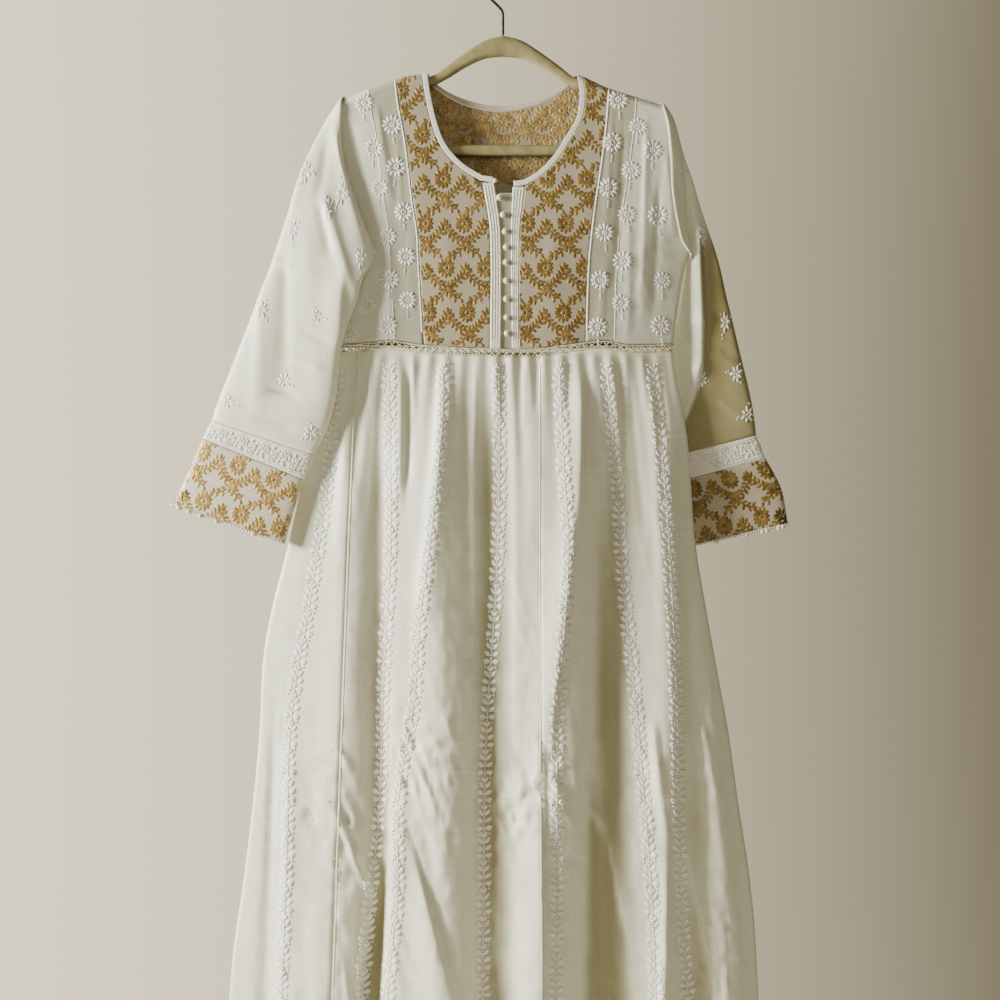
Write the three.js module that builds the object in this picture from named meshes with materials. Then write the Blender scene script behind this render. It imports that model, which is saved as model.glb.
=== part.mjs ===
// A gathered chikankari kurti hanging on a coat hanger. Millimetres, +Z up, front of the garment at -Y.
// The origin is where the hook bears on the rail. Every cloth piece is a wall made from one body surface.
import * as THREE from 'three';
import { mergeVertices } from 'three/addons/utils/BufferGeometryUtils.js';

// ---------------------------------------------------------------- driving dimensions
const CLOTH = 1.2; // thickness of a cloth wall
const SEAM = 0.3; // gap left between two pieces at a seam
const FOLD_RADIUS = 9; // how the cloth rounds over the hanger at the shoulder
const SIDE_RADIUS = 4; // how front and back round together at the side seam
const UNDERARM_Z = -346;
const WAIST_Z = -459;
const HEM_Z = -1345;
const TRIM_HEIGHT = 9;
const TRIM_CELLS = 48; // diamonds across the front, and as many across the back
const BINDING_WIDTH = 6.5;
const PEARL_RADIUS = 3;
const GATHERS = 21; // small gathers across the front at the waist, and as many behind
const SLEEVE_POINTS = 20; // points round a sleeve
const LAP = 3; // how far a sleeve's outside stands off the body's outside where it laps it

// ---------------------------------------------------------------- tables
// half widths of the flat garment at each height, left and right of the middle
const WIDTHS = [
  { z: -100, left: 262, right: 262 },
  { z: -300, left: 250, right: 250 },
  { z: -330, left: 236, right: 236 },
  { z: -346, left: 224, right: 224 },
  { z: -400, left: 213, right: 213 },
  { z: -459, left: 206, right: 206 },
  { z: -494, left: 213, right: 210 },
  { z: -560, left: 228, right: 222 },
  { z: -620, left: 243, right: 227 },
  { z: -697, left: 260, right: 233 },
  { z: -776, left: 280, right: 246 },
  { z: -838, left: 290, right: 257 },
  { z: -920, left: 294, right: 272 },
  { z: -1006, left: 302, right: 284 },
  { z: -1098, left: 313, right: 298 },
  { z: -1189, left: 326, right: 306 },
  { z: -1345, left: 338, right: 312 },
];

// how far the cloth swells out in the middle, in front and behind
const SWELL = [
  { z: -110, front: 0, back: 0 },
  { z: -200, front: 3, back: 1.5 },
  { z: -346, front: 10, back: 4 },
  { z: -459, front: 9, back: 5 },
  { z: -600, front: 16, back: 9 },
  { z: -900, front: 26, back: 16 },
  { z: -1345, front: 34, back: 24 },
];

// the shoulder seam, right across the neck
const SHOULDER = [
  { x: -260, z: -186 },
  { x: -194, z: -158 },
  { x: -130, z: -133 },
  { x: -91, z: -125 },
  { x: 0, z: -110 },
  { x: 89, z: -127 },
  { x: 126, z: -143 },
  { x: 191, z: -164 },
  { x: 260, z: -188 },
];

// the waist seam, which lifts where the skirt is gathered less
const WAIST = [
  { x: -206, z: -459 },
  { x: -157, z: -456 },
  { x: -134, z: -454 },
  { x: -91, z: -460 },
  { x: -41, z: -463 },
  { x: 32, z: -465 },
  { x: 80, z: -459 },
  { x: 122, z: -454.2 },
  { x: 152, z: -459 },
  { x: 206, z: -457.5 },
];

// necklines, from the shoulder to the slit in front, and from shoulder to shoulder behind
const NECK_LEFT = [
  { x: -91, z: -125 },
  { x: -87.5, z: -151 },
  { x: -79, z: -188 },
  { x: -68.5, z: -213.5 },
  { x: -48, z: -236.5 },
  { x: -25, z: -251 },
  { x: -11.5, z: -253 },
];
const NECK_RIGHT = [
  { x: 89, z: -127 },
  { x: 92.5, z: -153.5 },
  { x: 88.5, z: -181 },
  { x: 75.5, z: -204 },
  { x: 60, z: -228 },
  { x: 40, z: -248 },
  { x: 25, z: -256.5 },
  { x: 12.5, z: -258 },
];
const NECK_BACK = [
  { x: -91, z: -125 },
  { x: -80, z: -137 },
  { x: -52, z: -153 },
  { x: -5, z: -163 },
  { x: 44, z: -154 },
  { x: 73, z: -139 },
  { x: 89, z: -127 },
];

// the two edges of each placket strip
const PLACKET_LEFT = [
  { z: -260, outer: -24.6, inner: -10.4 },
  { z: -319, outer: -15.6, inner: -3.1 },
  { z: -459, outer: -15.6, inner: -2.4 },
];
const PLACKET_RIGHT = [
  { z: -265, outer: 26.4, inner: 11.6 },
  { z: -319, outer: 20, inner: 9.6 },
  { z: -459, outer: 18.7, inner: 10.8 },
];

// the seam between the brocade yoke and the side panel
const YOKE_SEAM_LEFT = [
  { x: -129, z: -133 },
  { x: -125, z: -166 },
  { x: -117.5, z: -206 },
  { x: -107.5, z: -287 },
  { x: -102.5, z: -317 },
  { x: -100, z: -365 },
  { x: -94.5, z: -459 },
];
const YOKE_SEAM_RIGHT = [
  { x: 126.5, z: -143 },
  { x: 123.5, z: -185 },
  { x: 117.5, z: -235 },
  { x: 111, z: -277 },
  { x: 105.5, z: -320 },
  { x: 101.5, z: -365 },
  { x: 99, z: -459 },
];

// the edge of the front and back panels inside a sleeve, and where the sleeve's cloth begins outside it
const ARMHOLE = [
  { x: 191.5, z: -160 },
  { x: 199, z: -193 },
  { x: 204.5, z: -276 },
  { x: 213, z: -318 },
  { x: 223, z: -346 },
];
const SLEEVE_SEAM = [
  { x: 190, z: -160 },
  { x: 197.5, z: -193 },
  { x: 202.5, z: -276 },
  { x: 211, z: -318 },
  { x: 219.5, z: -342 },
];
const LEFT_LAP = [
  { x: -193, z: -160 },
  { x: -193, z: -218 },
  { x: -182, z: -265 },
  { x: -166, z: -308 },
  { x: -152, z: -344 },
];

// seams between the skirt panels
const SKIRT_SEAMS = [
  { z: -459, left: -176, right: 44 },
  { z: -521, left: -178, right: 44 },
  { z: -761, left: -187, right: 44 },
  { z: -1345, left: -206, right: 46 },
];

// the large folds of the skirt: middle, half width and height at two heights; a hollow has a negative height
const FOLD_HIGH_Z = -641;
const FOLD_LOW_Z = -1181;
const FRONT_FOLDS = [
  { highX: -199, lowX: -238, highWidth: 20, lowWidth: 34, highHeight: 4, lowHeight: 9 },
  { highX: -164, lowX: -164, highWidth: 14, lowWidth: 16, highHeight: -5, lowHeight: -13 },
  { highX: -130, lowX: -124, highWidth: 11, lowWidth: 20, highHeight: 6, lowHeight: 8 },
  { highX: -94, lowX: -96, highWidth: 17, lowWidth: 32, highHeight: 4, lowHeight: 14 },
  { highX: -49, lowX: -44, highWidth: 24, lowWidth: 17, highHeight: -6, lowHeight: -8 },
  { highX: 4, lowX: 0, highWidth: 16, lowWidth: 20, highHeight: 2, lowHeight: 4 },
  { highX: 46, lowX: 44, highWidth: 20, lowWidth: 26, highHeight: 6, lowHeight: 10 },
  { highX: 94, lowX: 80, highWidth: 9, lowWidth: 12, highHeight: 4, lowHeight: 5 },
  { highX: 112, lowX: 110, highWidth: 14, lowWidth: 18, highHeight: -7, lowHeight: -14 },
  { highX: 163, lowX: 186, highWidth: 26, lowWidth: 32, highHeight: 6, lowHeight: 11 },
  { highX: 196, lowX: 226, highWidth: 12, lowWidth: 15, highHeight: -2, lowHeight: -9 },
  { highX: 214, lowX: 272, highWidth: 12, lowWidth: 26, highHeight: 3, lowHeight: 10 },
];
const BACK_FOLDS = [
  { highX: -190, lowX: -240, highWidth: 22, lowWidth: 36, highHeight: 4, lowHeight: 10 },
  { highX: -140, lowX: -160, highWidth: 18, lowWidth: 22, highHeight: -4, lowHeight: -11 },
  { highX: -92, lowX: -98, highWidth: 18, lowWidth: 30, highHeight: 6, lowHeight: 12 },
  { highX: -40, lowX: -36, highWidth: 22, lowWidth: 26, highHeight: -5, lowHeight: -10 },
  { highX: 12, lowX: 22, highWidth: 18, lowWidth: 30, highHeight: 6, lowHeight: 13 },
  { highX: 66, lowX: 82, highWidth: 20, lowWidth: 22, highHeight: -5, lowHeight: -11 },
  { highX: 118, lowX: 148, highWidth: 20, lowWidth: 32, highHeight: 6, lowHeight: 12 },
  { highX: 168, lowX: 210, highWidth: 16, lowWidth: 20, highHeight: -4, lowHeight: -8 },
  { highX: 200, lowX: 262, highWidth: 14, lowWidth: 26, highHeight: 2, lowHeight: 9 },
];

// sections of the free sleeve: its outer edge, its inner edge and half its depth; "front" and "back" say how
// far each layer of the section has come free of the armhole, 0 held and 1 free
const SLEEVE_LEFT = [
  { outerX: -217, outerY: -3, outerZ: -188, innerX: -157, innerY: -24, innerZ: -360, depth: 7, front: 0.8, back: 0.02 },
  { outerX: -237, outerY: -6, outerZ: -231, innerX: -168, innerY: -25, innerZ: -376, depth: 8, front: 1, back: 0.1 },
  { outerX: -257, outerY: -8, outerZ: -291, innerX: -174, innerY: -25, innerZ: -400, depth: 9, front: 1, back: 0.35 },
  { outerX: -276, outerY: -9, outerZ: -348, innerX: -183, innerY: -24, innerZ: -425, depth: 9, front: 1, back: 0.75 },
  { outerX: -296, outerY: -10, outerZ: -402, innerX: -196, innerY: -23, innerZ: -455, depth: 9, front: 1, back: 1 },
  { outerX: -315, outerY: -11, outerZ: -452, innerX: -200, innerY: -23, innerZ: -487, depth: 9, front: 1, back: 1 },
  { outerX: -332, outerY: -12, outerZ: -495, innerX: -203, innerY: -23, innerZ: -519, depth: 10, front: 1, back: 1 },
  { outerX: -343, outerY: -12, outerZ: -524, innerX: -211, innerY: -22, innerZ: -556, depth: 10, front: 1, back: 1 },
  { outerX: -350, outerY: -12, outerZ: -545.5, innerX: -226, innerY: -20, innerZ: -587, depth: 9, front: 1, back: 1 },
];
const BAND_LEFT = [
  { outerX: -350, outerY: -12, outerZ: -545.9, innerX: -226, innerY: -20, innerZ: -587.4, depth: 9 },
  { outerX: -360.5, outerY: -12, outerZ: -566.5, innerX: -238.5, innerY: -18, innerZ: -615.5, depth: 8 },
];
const CUFF_LEFT = [
  { outerX: -361.5, outerY: -12, outerZ: -567, innerX: -239, innerY: -18, innerZ: -616, depth: 8 },
  { outerX: -379, outerY: -12, outerZ: -608, innerX: -251, innerY: -17, innerZ: -655, depth: 8 },
  { outerX: -396, outerY: -12, outerZ: -647, innerX: -262, innerY: -16, innerZ: -694, depth: 8 },
];
const SLEEVE_RIGHT = [
  { outerX: 210, outerY: 0, outerZ: -188, innerX: 229, innerY: 4, innerZ: -362, depth: 8, front: 0.7, back: 0.7 },
  { outerX: 221, outerY: 2, outerZ: -233, innerX: 226, innerY: 13, innerZ: -392, depth: 9, front: 1, back: 1 },
  { outerX: 240, outerY: 4, outerZ: -290, innerX: 212, innerY: 20, innerZ: -424, depth: 10, front: 1, back: 1 },
  { outerX: 260, outerY: 6, outerZ: -350, innerX: 200, innerY: 23, innerZ: -456, depth: 10, front: 1, back: 1 },
  { outerX: 274, outerY: 8, outerZ: -407, innerX: 193, innerY: 25, innerZ: -488, depth: 10, front: 1, back: 1 },
  { outerX: 287, outerY: 9, outerZ: -461, innerX: 189, innerY: 26, innerZ: -521, depth: 10, front: 1, back: 1 },
  { outerX: 299, outerY: 10, outerZ: -510, innerX: 187, innerY: 28, innerZ: -554, depth: 10, front: 1, back: 1 },
  { outerX: 305, outerY: 10, outerZ: -543, innerX: 189, innerY: 29, innerZ: -578, depth: 10, front: 1, back: 1 },
  { outerX: 307, outerY: 10, outerZ: -562.6, innerX: 190, innerY: 29, innerZ: -592.6, depth: 9, front: 1, back: 1 },
];
const BAND_RIGHT = [
  { outerX: 307, outerY: 10, outerZ: -563, innerX: 190, innerY: 29, innerZ: -593, depth: 9 },
  { outerX: 318, outerY: 11, outerZ: -590, innerX: 198, innerY: 29, innerZ: -621, depth: 8 },
];
const CUFF_RIGHT = [
  { outerX: 319, outerY: 11, outerZ: -590.4, innerX: 198, innerY: 29, innerZ: -621.4, depth: 8 },
  { outerX: 338, outerY: 12, outerZ: -628, innerX: 208, innerY: 29, innerZ: -661, depth: 8 },
  { outerX: 346, outerY: 12, outerZ: -671, innerX: 219, innerY: 28, innerZ: -700, depth: 8 },
];

// pearl buttons down the slit
const PEARLS = [
  { x: -9.5, z: -258 },
  { x: -4.4, z: -278 },
  { x: 0, z: -299 },
  { x: 2.4, z: -319 },
  { x: 3.6, z: -338 },
  { x: 3.6, z: -356 },
  { x: 3.8, z: -378 },
  { x: 3.8, z: -400 },
  { x: 4.3, z: -422 },
  { x: 4.8, z: -441 },
];

// ---------------------------------------------------------------- hanger
const HANGER_TOP_Z = -80.4;
const HANGER_REACH = 186; // half its width
const HANGER_BAR_Z = -219;
const HANGER_BAR = 13; // height of the bar
const HANGER_THICKNESS = 12;
const HANGER_DROP = 3.4; // how far its shoulders lie under the shoulder seam
const WIRE_RADIUS = 1.7;
const HOOK_RADIUS = 20; // inside radius of the hook

// ---------------------------------------------------------------- materials
const material = (color, roughness, metalness = 0) =>
  new THREE.MeshStandardMaterial({ color, roughness, metalness, side: THREE.DoubleSide });
const cotton = material('#e9e8df', 0.9);
const sheerCotton = material('#c9c6bc', 0.9);
const brocade = material('#b0904e', 0.6);
const binding = material('#ded8cc', 0.85);
const lattice = material('#8f835f', 0.85);
const pearl = material('#eee6cc', 0.35);
const hangerPlastic = material('#b0a67e', 0.45);
const wire = material('#4a4238', 0.4, 0.8);

// ---------------------------------------------------------------- curves through tables
/** A smooth curve through a table's column, read at a value of its key; the end rows hold beyond the table. */
function reader(table, key, column) {
  const rows = [...table].sort((a, b) => a[key] - b[key]);
  const slope = (i) => {
    const before = rows[Math.max(i - 1, 0)];
    const after = rows[Math.min(i + 1, rows.length - 1)];
    return (after[column] - before[column]) / (after[key] - before[key]);
  };
  return (value) => {
    const at = THREE.MathUtils.clamp(value, rows[0][key], rows[rows.length - 1][key]);
    let i = 0;
    while (i < rows.length - 2 && at > rows[i + 1][key]) i += 1;
    const span = rows[i + 1][key] - rows[i][key];
    const t = (at - rows[i][key]) / span;
    const rise = (2 * t ** 3 - 3 * t ** 2 + 1) * rows[i][column] + (3 * t ** 2 - 2 * t ** 3) * rows[i + 1][column];
    const lean = (t ** 3 - 2 * t ** 2 + t) * slope(i) + (t ** 3 - t ** 2) * slope(i + 1);
    return rise + lean * span;
  };
}

/** A path through the rows of a table, as a function of the fraction of its length, giving { x, z }. */
function path(rows) {
  const curve = new THREE.CatmullRomCurve3(rows.map((row) => new THREE.Vector3(row.x, 0, row.z)), false, 'centripetal');
  return (fraction) => curve.getPointAt(THREE.MathUtils.clamp(fraction, 0, 1));
}

/** Moves each row of an open path sideways in its own plane; a positive distance is to the left of its run. */
function offsetRows(rows, distance) {
  return rows.map((row, i) => {
    const before = rows[Math.max(i - 1, 0)];
    const after = rows[Math.min(i + 1, rows.length - 1)];
    const run = new THREE.Vector2(after.x - before.x, after.z - before.z).normalize();
    return { x: row.x - run.y * distance, z: row.z + run.x * distance };
  });
}

const fromShoulder = (rows) => rows.map((row, i) => (i === 0 ? { x: row.x, z: shoulderZ(row.x) } : row));
const mirrorRows = (rows) => rows.map((row) => ({ ...row, x: -row.x }));
const fractions = (count) => Array.from({ length: count + 1 }, (unused, i) => i / count);

// ---------------------------------------------------------------- the body's surface
const leftWidth = reader(WIDTHS, 'z', 'left');
const rightWidth = reader(WIDTHS, 'z', 'right');
const frontSwell = reader(SWELL, 'z', 'front');
const backSwell = reader(SWELL, 'z', 'back');
const shoulderZ = reader(SHOULDER, 'x', 'z');
const frontWaistZ = reader(WAIST, 'x', 'z');
const backWaistZ = () => WAIST_Z;
const halfWidth = (x, z) => (x < 0 ? leftWidth(z) : rightWidth(z));

/** A quarter round: 0 at the edge, 1 from one radius inside it. */
const quarterRound = (distance, radius) => {
  const inside = THREE.MathUtils.clamp(distance / radius, 0, 1);
  return Math.sqrt(1 - (1 - inside) ** 2);
};

/** Sum of the large folds at a place on the skirt, 0 at the waist. */
function foldHeight(folds, x, z) {
  const along = (FOLD_HIGH_Z - z) / (FOLD_HIGH_Z - FOLD_LOW_Z);
  const start = THREE.MathUtils.smoothstep(WAIST_Z - z, 0, WAIST_Z - FOLD_HIGH_Z);
  const down = Math.max(along, 0);
  let height = 0;
  for (const fold of folds) {
    const middle = THREE.MathUtils.lerp(fold.highX, fold.lowX, along);
    const width = THREE.MathUtils.lerp(fold.highWidth, fold.lowWidth, down);
    const tall = THREE.MathUtils.lerp(fold.highHeight, fold.lowHeight, down);
    height += start * tall * Math.exp(-(((x - middle) / width) ** 2));
  }
  return height;
}

/** The small gathers: ridges as uneven as hand gathering, starting at the waist and fading out below it. */
function gatherHeight(x, z, phase) {
  const below = WAIST_Z - z;
  if (below <= 0) return 0;
  const place = ((x / halfWidth(x, z) + 1) / 2) * GATHERS;
  const uneven = 1.5 + 0.9 * Math.sin(place * 0.9 + phase) * Math.sin(place * 0.37 + 2 * phase);
  const fade = THREE.MathUtils.smoothstep(below, 0, 16) * Math.exp(-below / 95);
  return uneven * fade * Math.cos(2 * Math.PI * place);
}

/** How far the outside of the cloth lies from the middle plane, before the sign of its side is put on. */
function bodyDepth(x, z, swell, folds, phase) {
  const edge = halfWidth(x, z) - Math.abs(x);
  const across = x / halfWidth(x, z);
  const side = SIDE_RADIUS * quarterRound(edge, SIDE_RADIUS);
  const inward = (FOLD_RADIUS - SIDE_RADIUS) * THREE.MathUtils.clamp(edge / 60, 0, 1) ** 0.8;
  const top = quarterRound(shoulderZ(x) - z, FOLD_RADIUS);
  const relief = (foldHeight(folds, x, z) + gatherHeight(x, z, phase)) * THREE.MathUtils.clamp(edge / 30, 0, 1);
  return SEAM / 2 + top * (side + inward + Math.max(swell(z) * (1 - across * across) + relief, -inward));
}
const frontY = (x, z) => -bodyDepth(x, z, frontSwell, FRONT_FOLDS, 0.4);
const backY = (x, z) => bodyDepth(x, z, backSwell, BACK_FOLDS, 2.1);

/** The outward normal of the body at a place, from its slopes; on the fold line it lies in the middle plane. */
function bodyNormal(surfaceY, x, z) {
  const step = 0.05;
  const slopeX = (surfaceY(x + step, z) - surfaceY(x - step, z)) / (2 * step);
  const slopeZ = (surfaceY(x, z + step) - surfaceY(x, z - step)) / (2 * step);
  const facing = surfaceY === frontY ? 1 : -1;
  const onFold = Math.abs(surfaceY(x, z)) <= SEAM;
  return new THREE.Vector3(slopeX * facing, onFold ? 0 : -facing, slopeZ * facing).normalize();
}

// ---------------------------------------------------------------- walls
/** A closed wall from a sheet of triangles: its outside, the same moved in by the thickness, and its rims. */
function wall(sheet, thickness = CLOTH) {
  const count = sheet.points.length;
  const positions = [];
  for (const point of sheet.points) positions.push(point.x, point.y, point.z);
  sheet.points.forEach((point, i) => {
    const inside = point.clone().addScaledVector(sheet.normals[i], -thickness);
    positions.push(inside.x, inside.y, inside.z);
  });
  const faces = [...sheet.faces, ...sheet.faces.map(([a, b, c]) => [c + count, b + count, a + count])];
  const edges = new Set(sheet.faces.flatMap(([a, b, c]) => [`${a}>${b}`, `${b}>${c}`, `${c}>${a}`]));
  for (const edge of edges) {
    const [a, b] = edge.split('>').map(Number);
    if (edges.has(`${b}>${a}`)) continue;
    faces.push([b, a, a + count], [b, a + count, b + count]);
  }
  const geometry = new THREE.BufferGeometry();
  geometry.setAttribute('position', new THREE.Float32BufferAttribute(positions, 3));
  geometry.setIndex(faces.flat());
  return geometry;
}

/** Triangles of a grid whose rows are lists of points; "closed" joins each row's end to its start. */
function gridFaces(rowCount, columnCount, closed, turned) {
  const faces = [];
  const last = closed ? columnCount : columnCount - 1;
  for (let row = 0; row < rowCount - 1; row += 1) {
    for (let column = 0; column < last; column += 1) {
      const next = (column + 1) % columnCount;
      const [a, b] = [row * columnCount + column, row * columnCount + next];
      const [c, d] = [a + columnCount, b + columnCount];
      const pair = [[a, c, b], [b, c, d]];
      faces.push(...(turned ? pair.map(([p, q, r]) => [r, q, p]) : pair));
    }
  }
  return faces;
}

/** Normals of a tube's grid, from its neighbours along and around. */
function tubeNormals(rings, firstNormals) {
  return rings.flatMap((ring, row) => ring.map((point, column) => {
    if (row === 0 && firstNormals) return firstNormals[column];
    const around = new THREE.Vector3().subVectors(
      ring[(column + 1) % ring.length], ring[(column + ring.length - 1) % ring.length]);
    const along = new THREE.Vector3().subVectors(
      rings[Math.min(row + 1, rings.length - 1)][column], rings[Math.max(row - 1, 0)][column]);
    return new THREE.Vector3().crossVectors(along, around).normalize();
  }));
}

// ---------------------------------------------------------------- the group
const kurti = new THREE.Group();
kurti.name = 'chikankari_kurti';
function add(name, geometry, finish) {
  geometry.computeVertexNormals();
  const mesh = new THREE.Mesh(geometry, finish);
  mesh.name = name;
  kurti.add(mesh);
}

// ---------------------------------------------------------------- bodice
const NECK_STATIONS = [0, 0.008, 0.035, 0.09, 0.22, 0.38, 0.54, 0.68, 0.8, 0.9, 1];
const BACK_NECK_STATIONS = [0, 0.01, 0.045, 0.12, 0.24, 0.37, 0.5, 0.63, 0.76, 0.88, 0.955, 0.99, 1];
const PLACKET_STATIONS = [0, 0.18, 0.36, 0.52, 0.7, 0.86, 1];
const BACK_ROWS = [0, 0.003, 0.012, 0.028, 0.07, 0.15, 0.25, 0.36, 0.47, 0.58, 0.7, 0.85, 1];
const SIDE_COLUMNS = [0, 0.18, 0.36, 0.54, 0.72, 0.86, 0.95, 0.986, 1];
const WAIST_GAP = 3 * SEAM; // the waist seam curves between its stations, so its gap is a little wider
const frontBodiceEnd = (x) => frontWaistZ(x) + TRIM_HEIGHT / 2 + WAIST_GAP;
const backBodiceEnd = () => WAIST_Z + TRIM_HEIGHT / 2 + WAIST_GAP;
const besides = (rows, distance) => rows.map((row) => ({ x: row.x + distance, z: row.z }));
const columnsBetween = (left, right, acrosses) => left.map((start, i) => acrosses.map((across) => ({
  x: THREE.MathUtils.lerp(start.x, right[i].x, across),
  z: THREE.MathUtils.lerp(start.z, right[i].z, across),
})));

/** Bends a panel's rows so that its first row follows the shoulder seam and its last one the waist. */
function fitted(rows, waistLine) {
  const last = rows.length - 1;
  return rows.map((row) => row.map(({ x, z }, column) => {
    const start = rows[0][column];
    const end = rows[last][column];
    const down = (z - start.z) / (end.z - start.z);
    const shift = (shoulderZ(start.x) - start.z) * (1 - down) ** 2 + (waistLine(end.x) - end.z) * down ** 4;
    return { x, z: z + shift };
  }));
}

/** The stations of a neckline's inner edge and of its binding's outer edge, which meet the shoulder alike. */
function neckEdges(neck, stations, side, extra = []) {
  const along = path(neck);
  const inner = [...stations.map((at) => ({ x: along(at).x, z: along(at).z })), ...extra];
  const outside = (distance) => offsetRows(inner, side * distance).map((row, i) => {
    const below = Math.max(shoulderZ(inner[i].x) - inner[i].z, 0);
    const near = THREE.MathUtils.clamp(1 - below / 40, 0, 1);
    return { x: row.x, z: THREE.MathUtils.lerp(row.z, shoulderZ(row.x) - below, near) };
  });
  return { inner: outside(0), outer: outside(BINDING_WIDTH), beyond: outside(BINDING_WIDTH + 1.5 * SEAM) };
}

/** The stations of a placket strip's edge, from its top down to the waist. */
function stripStations(table, column, shift = 0) {
  const edge = reader(table, 'z', column);
  const topZ = table[0].z;
  return PLACKET_STATIONS.map((at) => {
    const x = edge(THREE.MathUtils.lerp(topZ, WAIST_Z, at)) + shift;
    const z = THREE.MathUtils.lerp(topZ, frontBodiceEnd(x), at);
    return { x, z };
  });
}

/** A seam's stations, as far down in proportion as the stations of the edge beside it. */
function seamStations(table, edge, waistLine) {
  const seamX = reader(table, 'z', 'x');
  const [topZ, endX] = [shoulderZ(table[0].x), table[table.length - 1].x];
  const [edgeTop, edgeEnd] = [edge[0].z, edge[edge.length - 1].z];
  return edge.map((row) => {
    const z = THREE.MathUtils.lerp(topZ, waistLine(endX), (row.z - edgeTop) / (edgeEnd - edgeTop));
    return { x: seamX(z), z };
  });
}

/** The armhole and side seam, with as many stations as the seam that the panel runs to. */
function sideStations(side, seam, waistLine) {
  const edgeX = reader([
    ...ARMHOLE,
    { x: rightWidth(-400), z: -400 },
    { x: rightWidth(WAIST_Z), z: WAIST_Z },
  ], 'z', 'x');
  const [seamTop, seamEnd] = [seam[0].z, seam[seam.length - 1].z];
  return seam.map((row) => {
    const down = (row.z - seamTop) / (seamEnd - seamTop);
    const z = THREE.MathUtils.lerp(shoulderZ(side * ARMHOLE[0].x), waistLine(side * rightWidth(WAIST_Z)), down);
    return { x: side * Math.min(edgeX(z), halfWidth(side, z) - 0.01), z };
  });
}

/** A panel's rows of places, turned so that x grows along each row, made into a wall on the body. */
function panel(surfaceY, rows, inward = 0) {
  const places = rows.map((row) => (row[0].x < row[row.length - 1].x ? row : [...row].reverse()));
  const normals = places.flat().map(({ x, z }) => bodyNormal(surfaceY, x, z));
  const points = places.flat().map(({ x, z }, i) => (
    new THREE.Vector3(x, surfaceY(x, z), z).addScaledVector(normals[i], -inward)));
  return wall({ points, normals, faces: gridFaces(places.length, places[0].length, false, surfaceY === backY) });
}

for (const [name, side, neck, placket, seamTable] of [
  ['left', -1, NECK_LEFT, PLACKET_LEFT, YOKE_SEAM_LEFT],
  ['right', 1, NECK_RIGHT, PLACKET_RIGHT, YOKE_SEAM_RIGHT],
]) {
  const slitEnd = neck[neck.length - 1];
  const edges = neckEdges(neck.slice(0, -1), NECK_STATIONS, side, [slitEnd]);
  const besideNeck = edges.beyond.slice(0, -1);
  const innerEdge = [...besideNeck, ...stripStations(placket, 'outer', side * SEAM)];
  const seam = seamStations(seamTable, innerEdge, frontBodiceEnd);
  const armSide = sideStations(side, seam, frontBodiceEnd);
  const yokeRows = columnsBetween(innerEdge, besides(seam, -side * SEAM), fractions(5));
  const sideRows = columnsBetween(seam, armSide, SIDE_COLUMNS);
  add(`front_yoke_${name}`, panel(frontY, fitted(yokeRows, frontBodiceEnd)), brocade);
  add(`front_side_${name}`, panel(frontY, fitted(sideRows, frontBodiceEnd)), sheerCotton);
  add(`neck_binding_front_${name}`, panel(frontY, columnsBetween(edges.inner, edges.outer, [0, 1])), binding);
  const strip = columnsBetween(stripStations(placket, 'inner'), stripStations(placket, 'outer'), [0, 1]);
  add(`placket_${name}`, panel(frontY, strip), cotton);
}
const UNDERLAY = { left: -13, right: 17, topZ: -272 };
const underlayRows = fractions(8).map((down) => [UNDERLAY.left, 2, UNDERLAY.right].map((x) => ({
  x, z: THREE.MathUtils.lerp(UNDERLAY.topZ, frontBodiceEnd(x), down) })));
add('placket_underlay', panel(frontY, underlayRows, CLOTH + 0.4), sheerCotton);

/** The back: a yoke that hangs from the bound neckline, and a side panel to each armhole. */
function addBack() {
  const neck = neckEdges(NECK_BACK, BACK_NECK_STATIONS, -1);
  const binderRows = columnsBetween(neck.inner, neck.outer, [0, 1]);
  const normals = binderRows.flat().map(({ x, z }) => bodyNormal(backY, x, z));
  const points = binderRows.flat().map(({ x, z }) => new THREE.Vector3(x, backY(x, z), z));
  add('neck_binding_back', wall({ points, normals, faces: gridFaces(binderRows.length, 2, false, false) }), binding);

  const edge = BACK_ROWS.map((at) => ({ z: THREE.MathUtils.lerp(shoulderZ(126.5), backBodiceEnd(), at) }));
  const right = seamStations(YOKE_SEAM_RIGHT, edge, backBodiceEnd);
  const left = seamStations(mirrorRows(YOKE_SEAM_RIGHT), edge, backBodiceEnd);
  for (const [name, side, seam] of [['left', -1, left], ['right', 1, right]]) {
    const rows = columnsBetween(seam, sideStations(side, seam, backBodiceEnd), SIDE_COLUMNS);
    add(`back_side_${name}`, panel(backY, fitted(rows, backBodiceEnd)), sheerCotton);
  }

  const [yokeLeft, yokeRight] = [besides(left, SEAM), besides(right, -SEAM)];
  const top = [yokeLeft[0], ...neck.beyond, yokeRight[0]];
  const rows = BACK_ROWS.map((down, row) => top.map((start) => {
    const across = (start.x - yokeLeft[0].x) / (yokeRight[0].x - yokeLeft[0].x);
    const rise = start.z - THREE.MathUtils.lerp(yokeLeft[0].z, yokeRight[0].z, across);
    return {
      x: THREE.MathUtils.lerp(yokeLeft[row].x, yokeRight[row].x, across),
      z: THREE.MathUtils.lerp(yokeLeft[row].z, yokeRight[row].z, across) + rise * (1 - down),
    };
  }));
  add('back_yoke', panel(backY, rows), brocade);
}
addBack();

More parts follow.
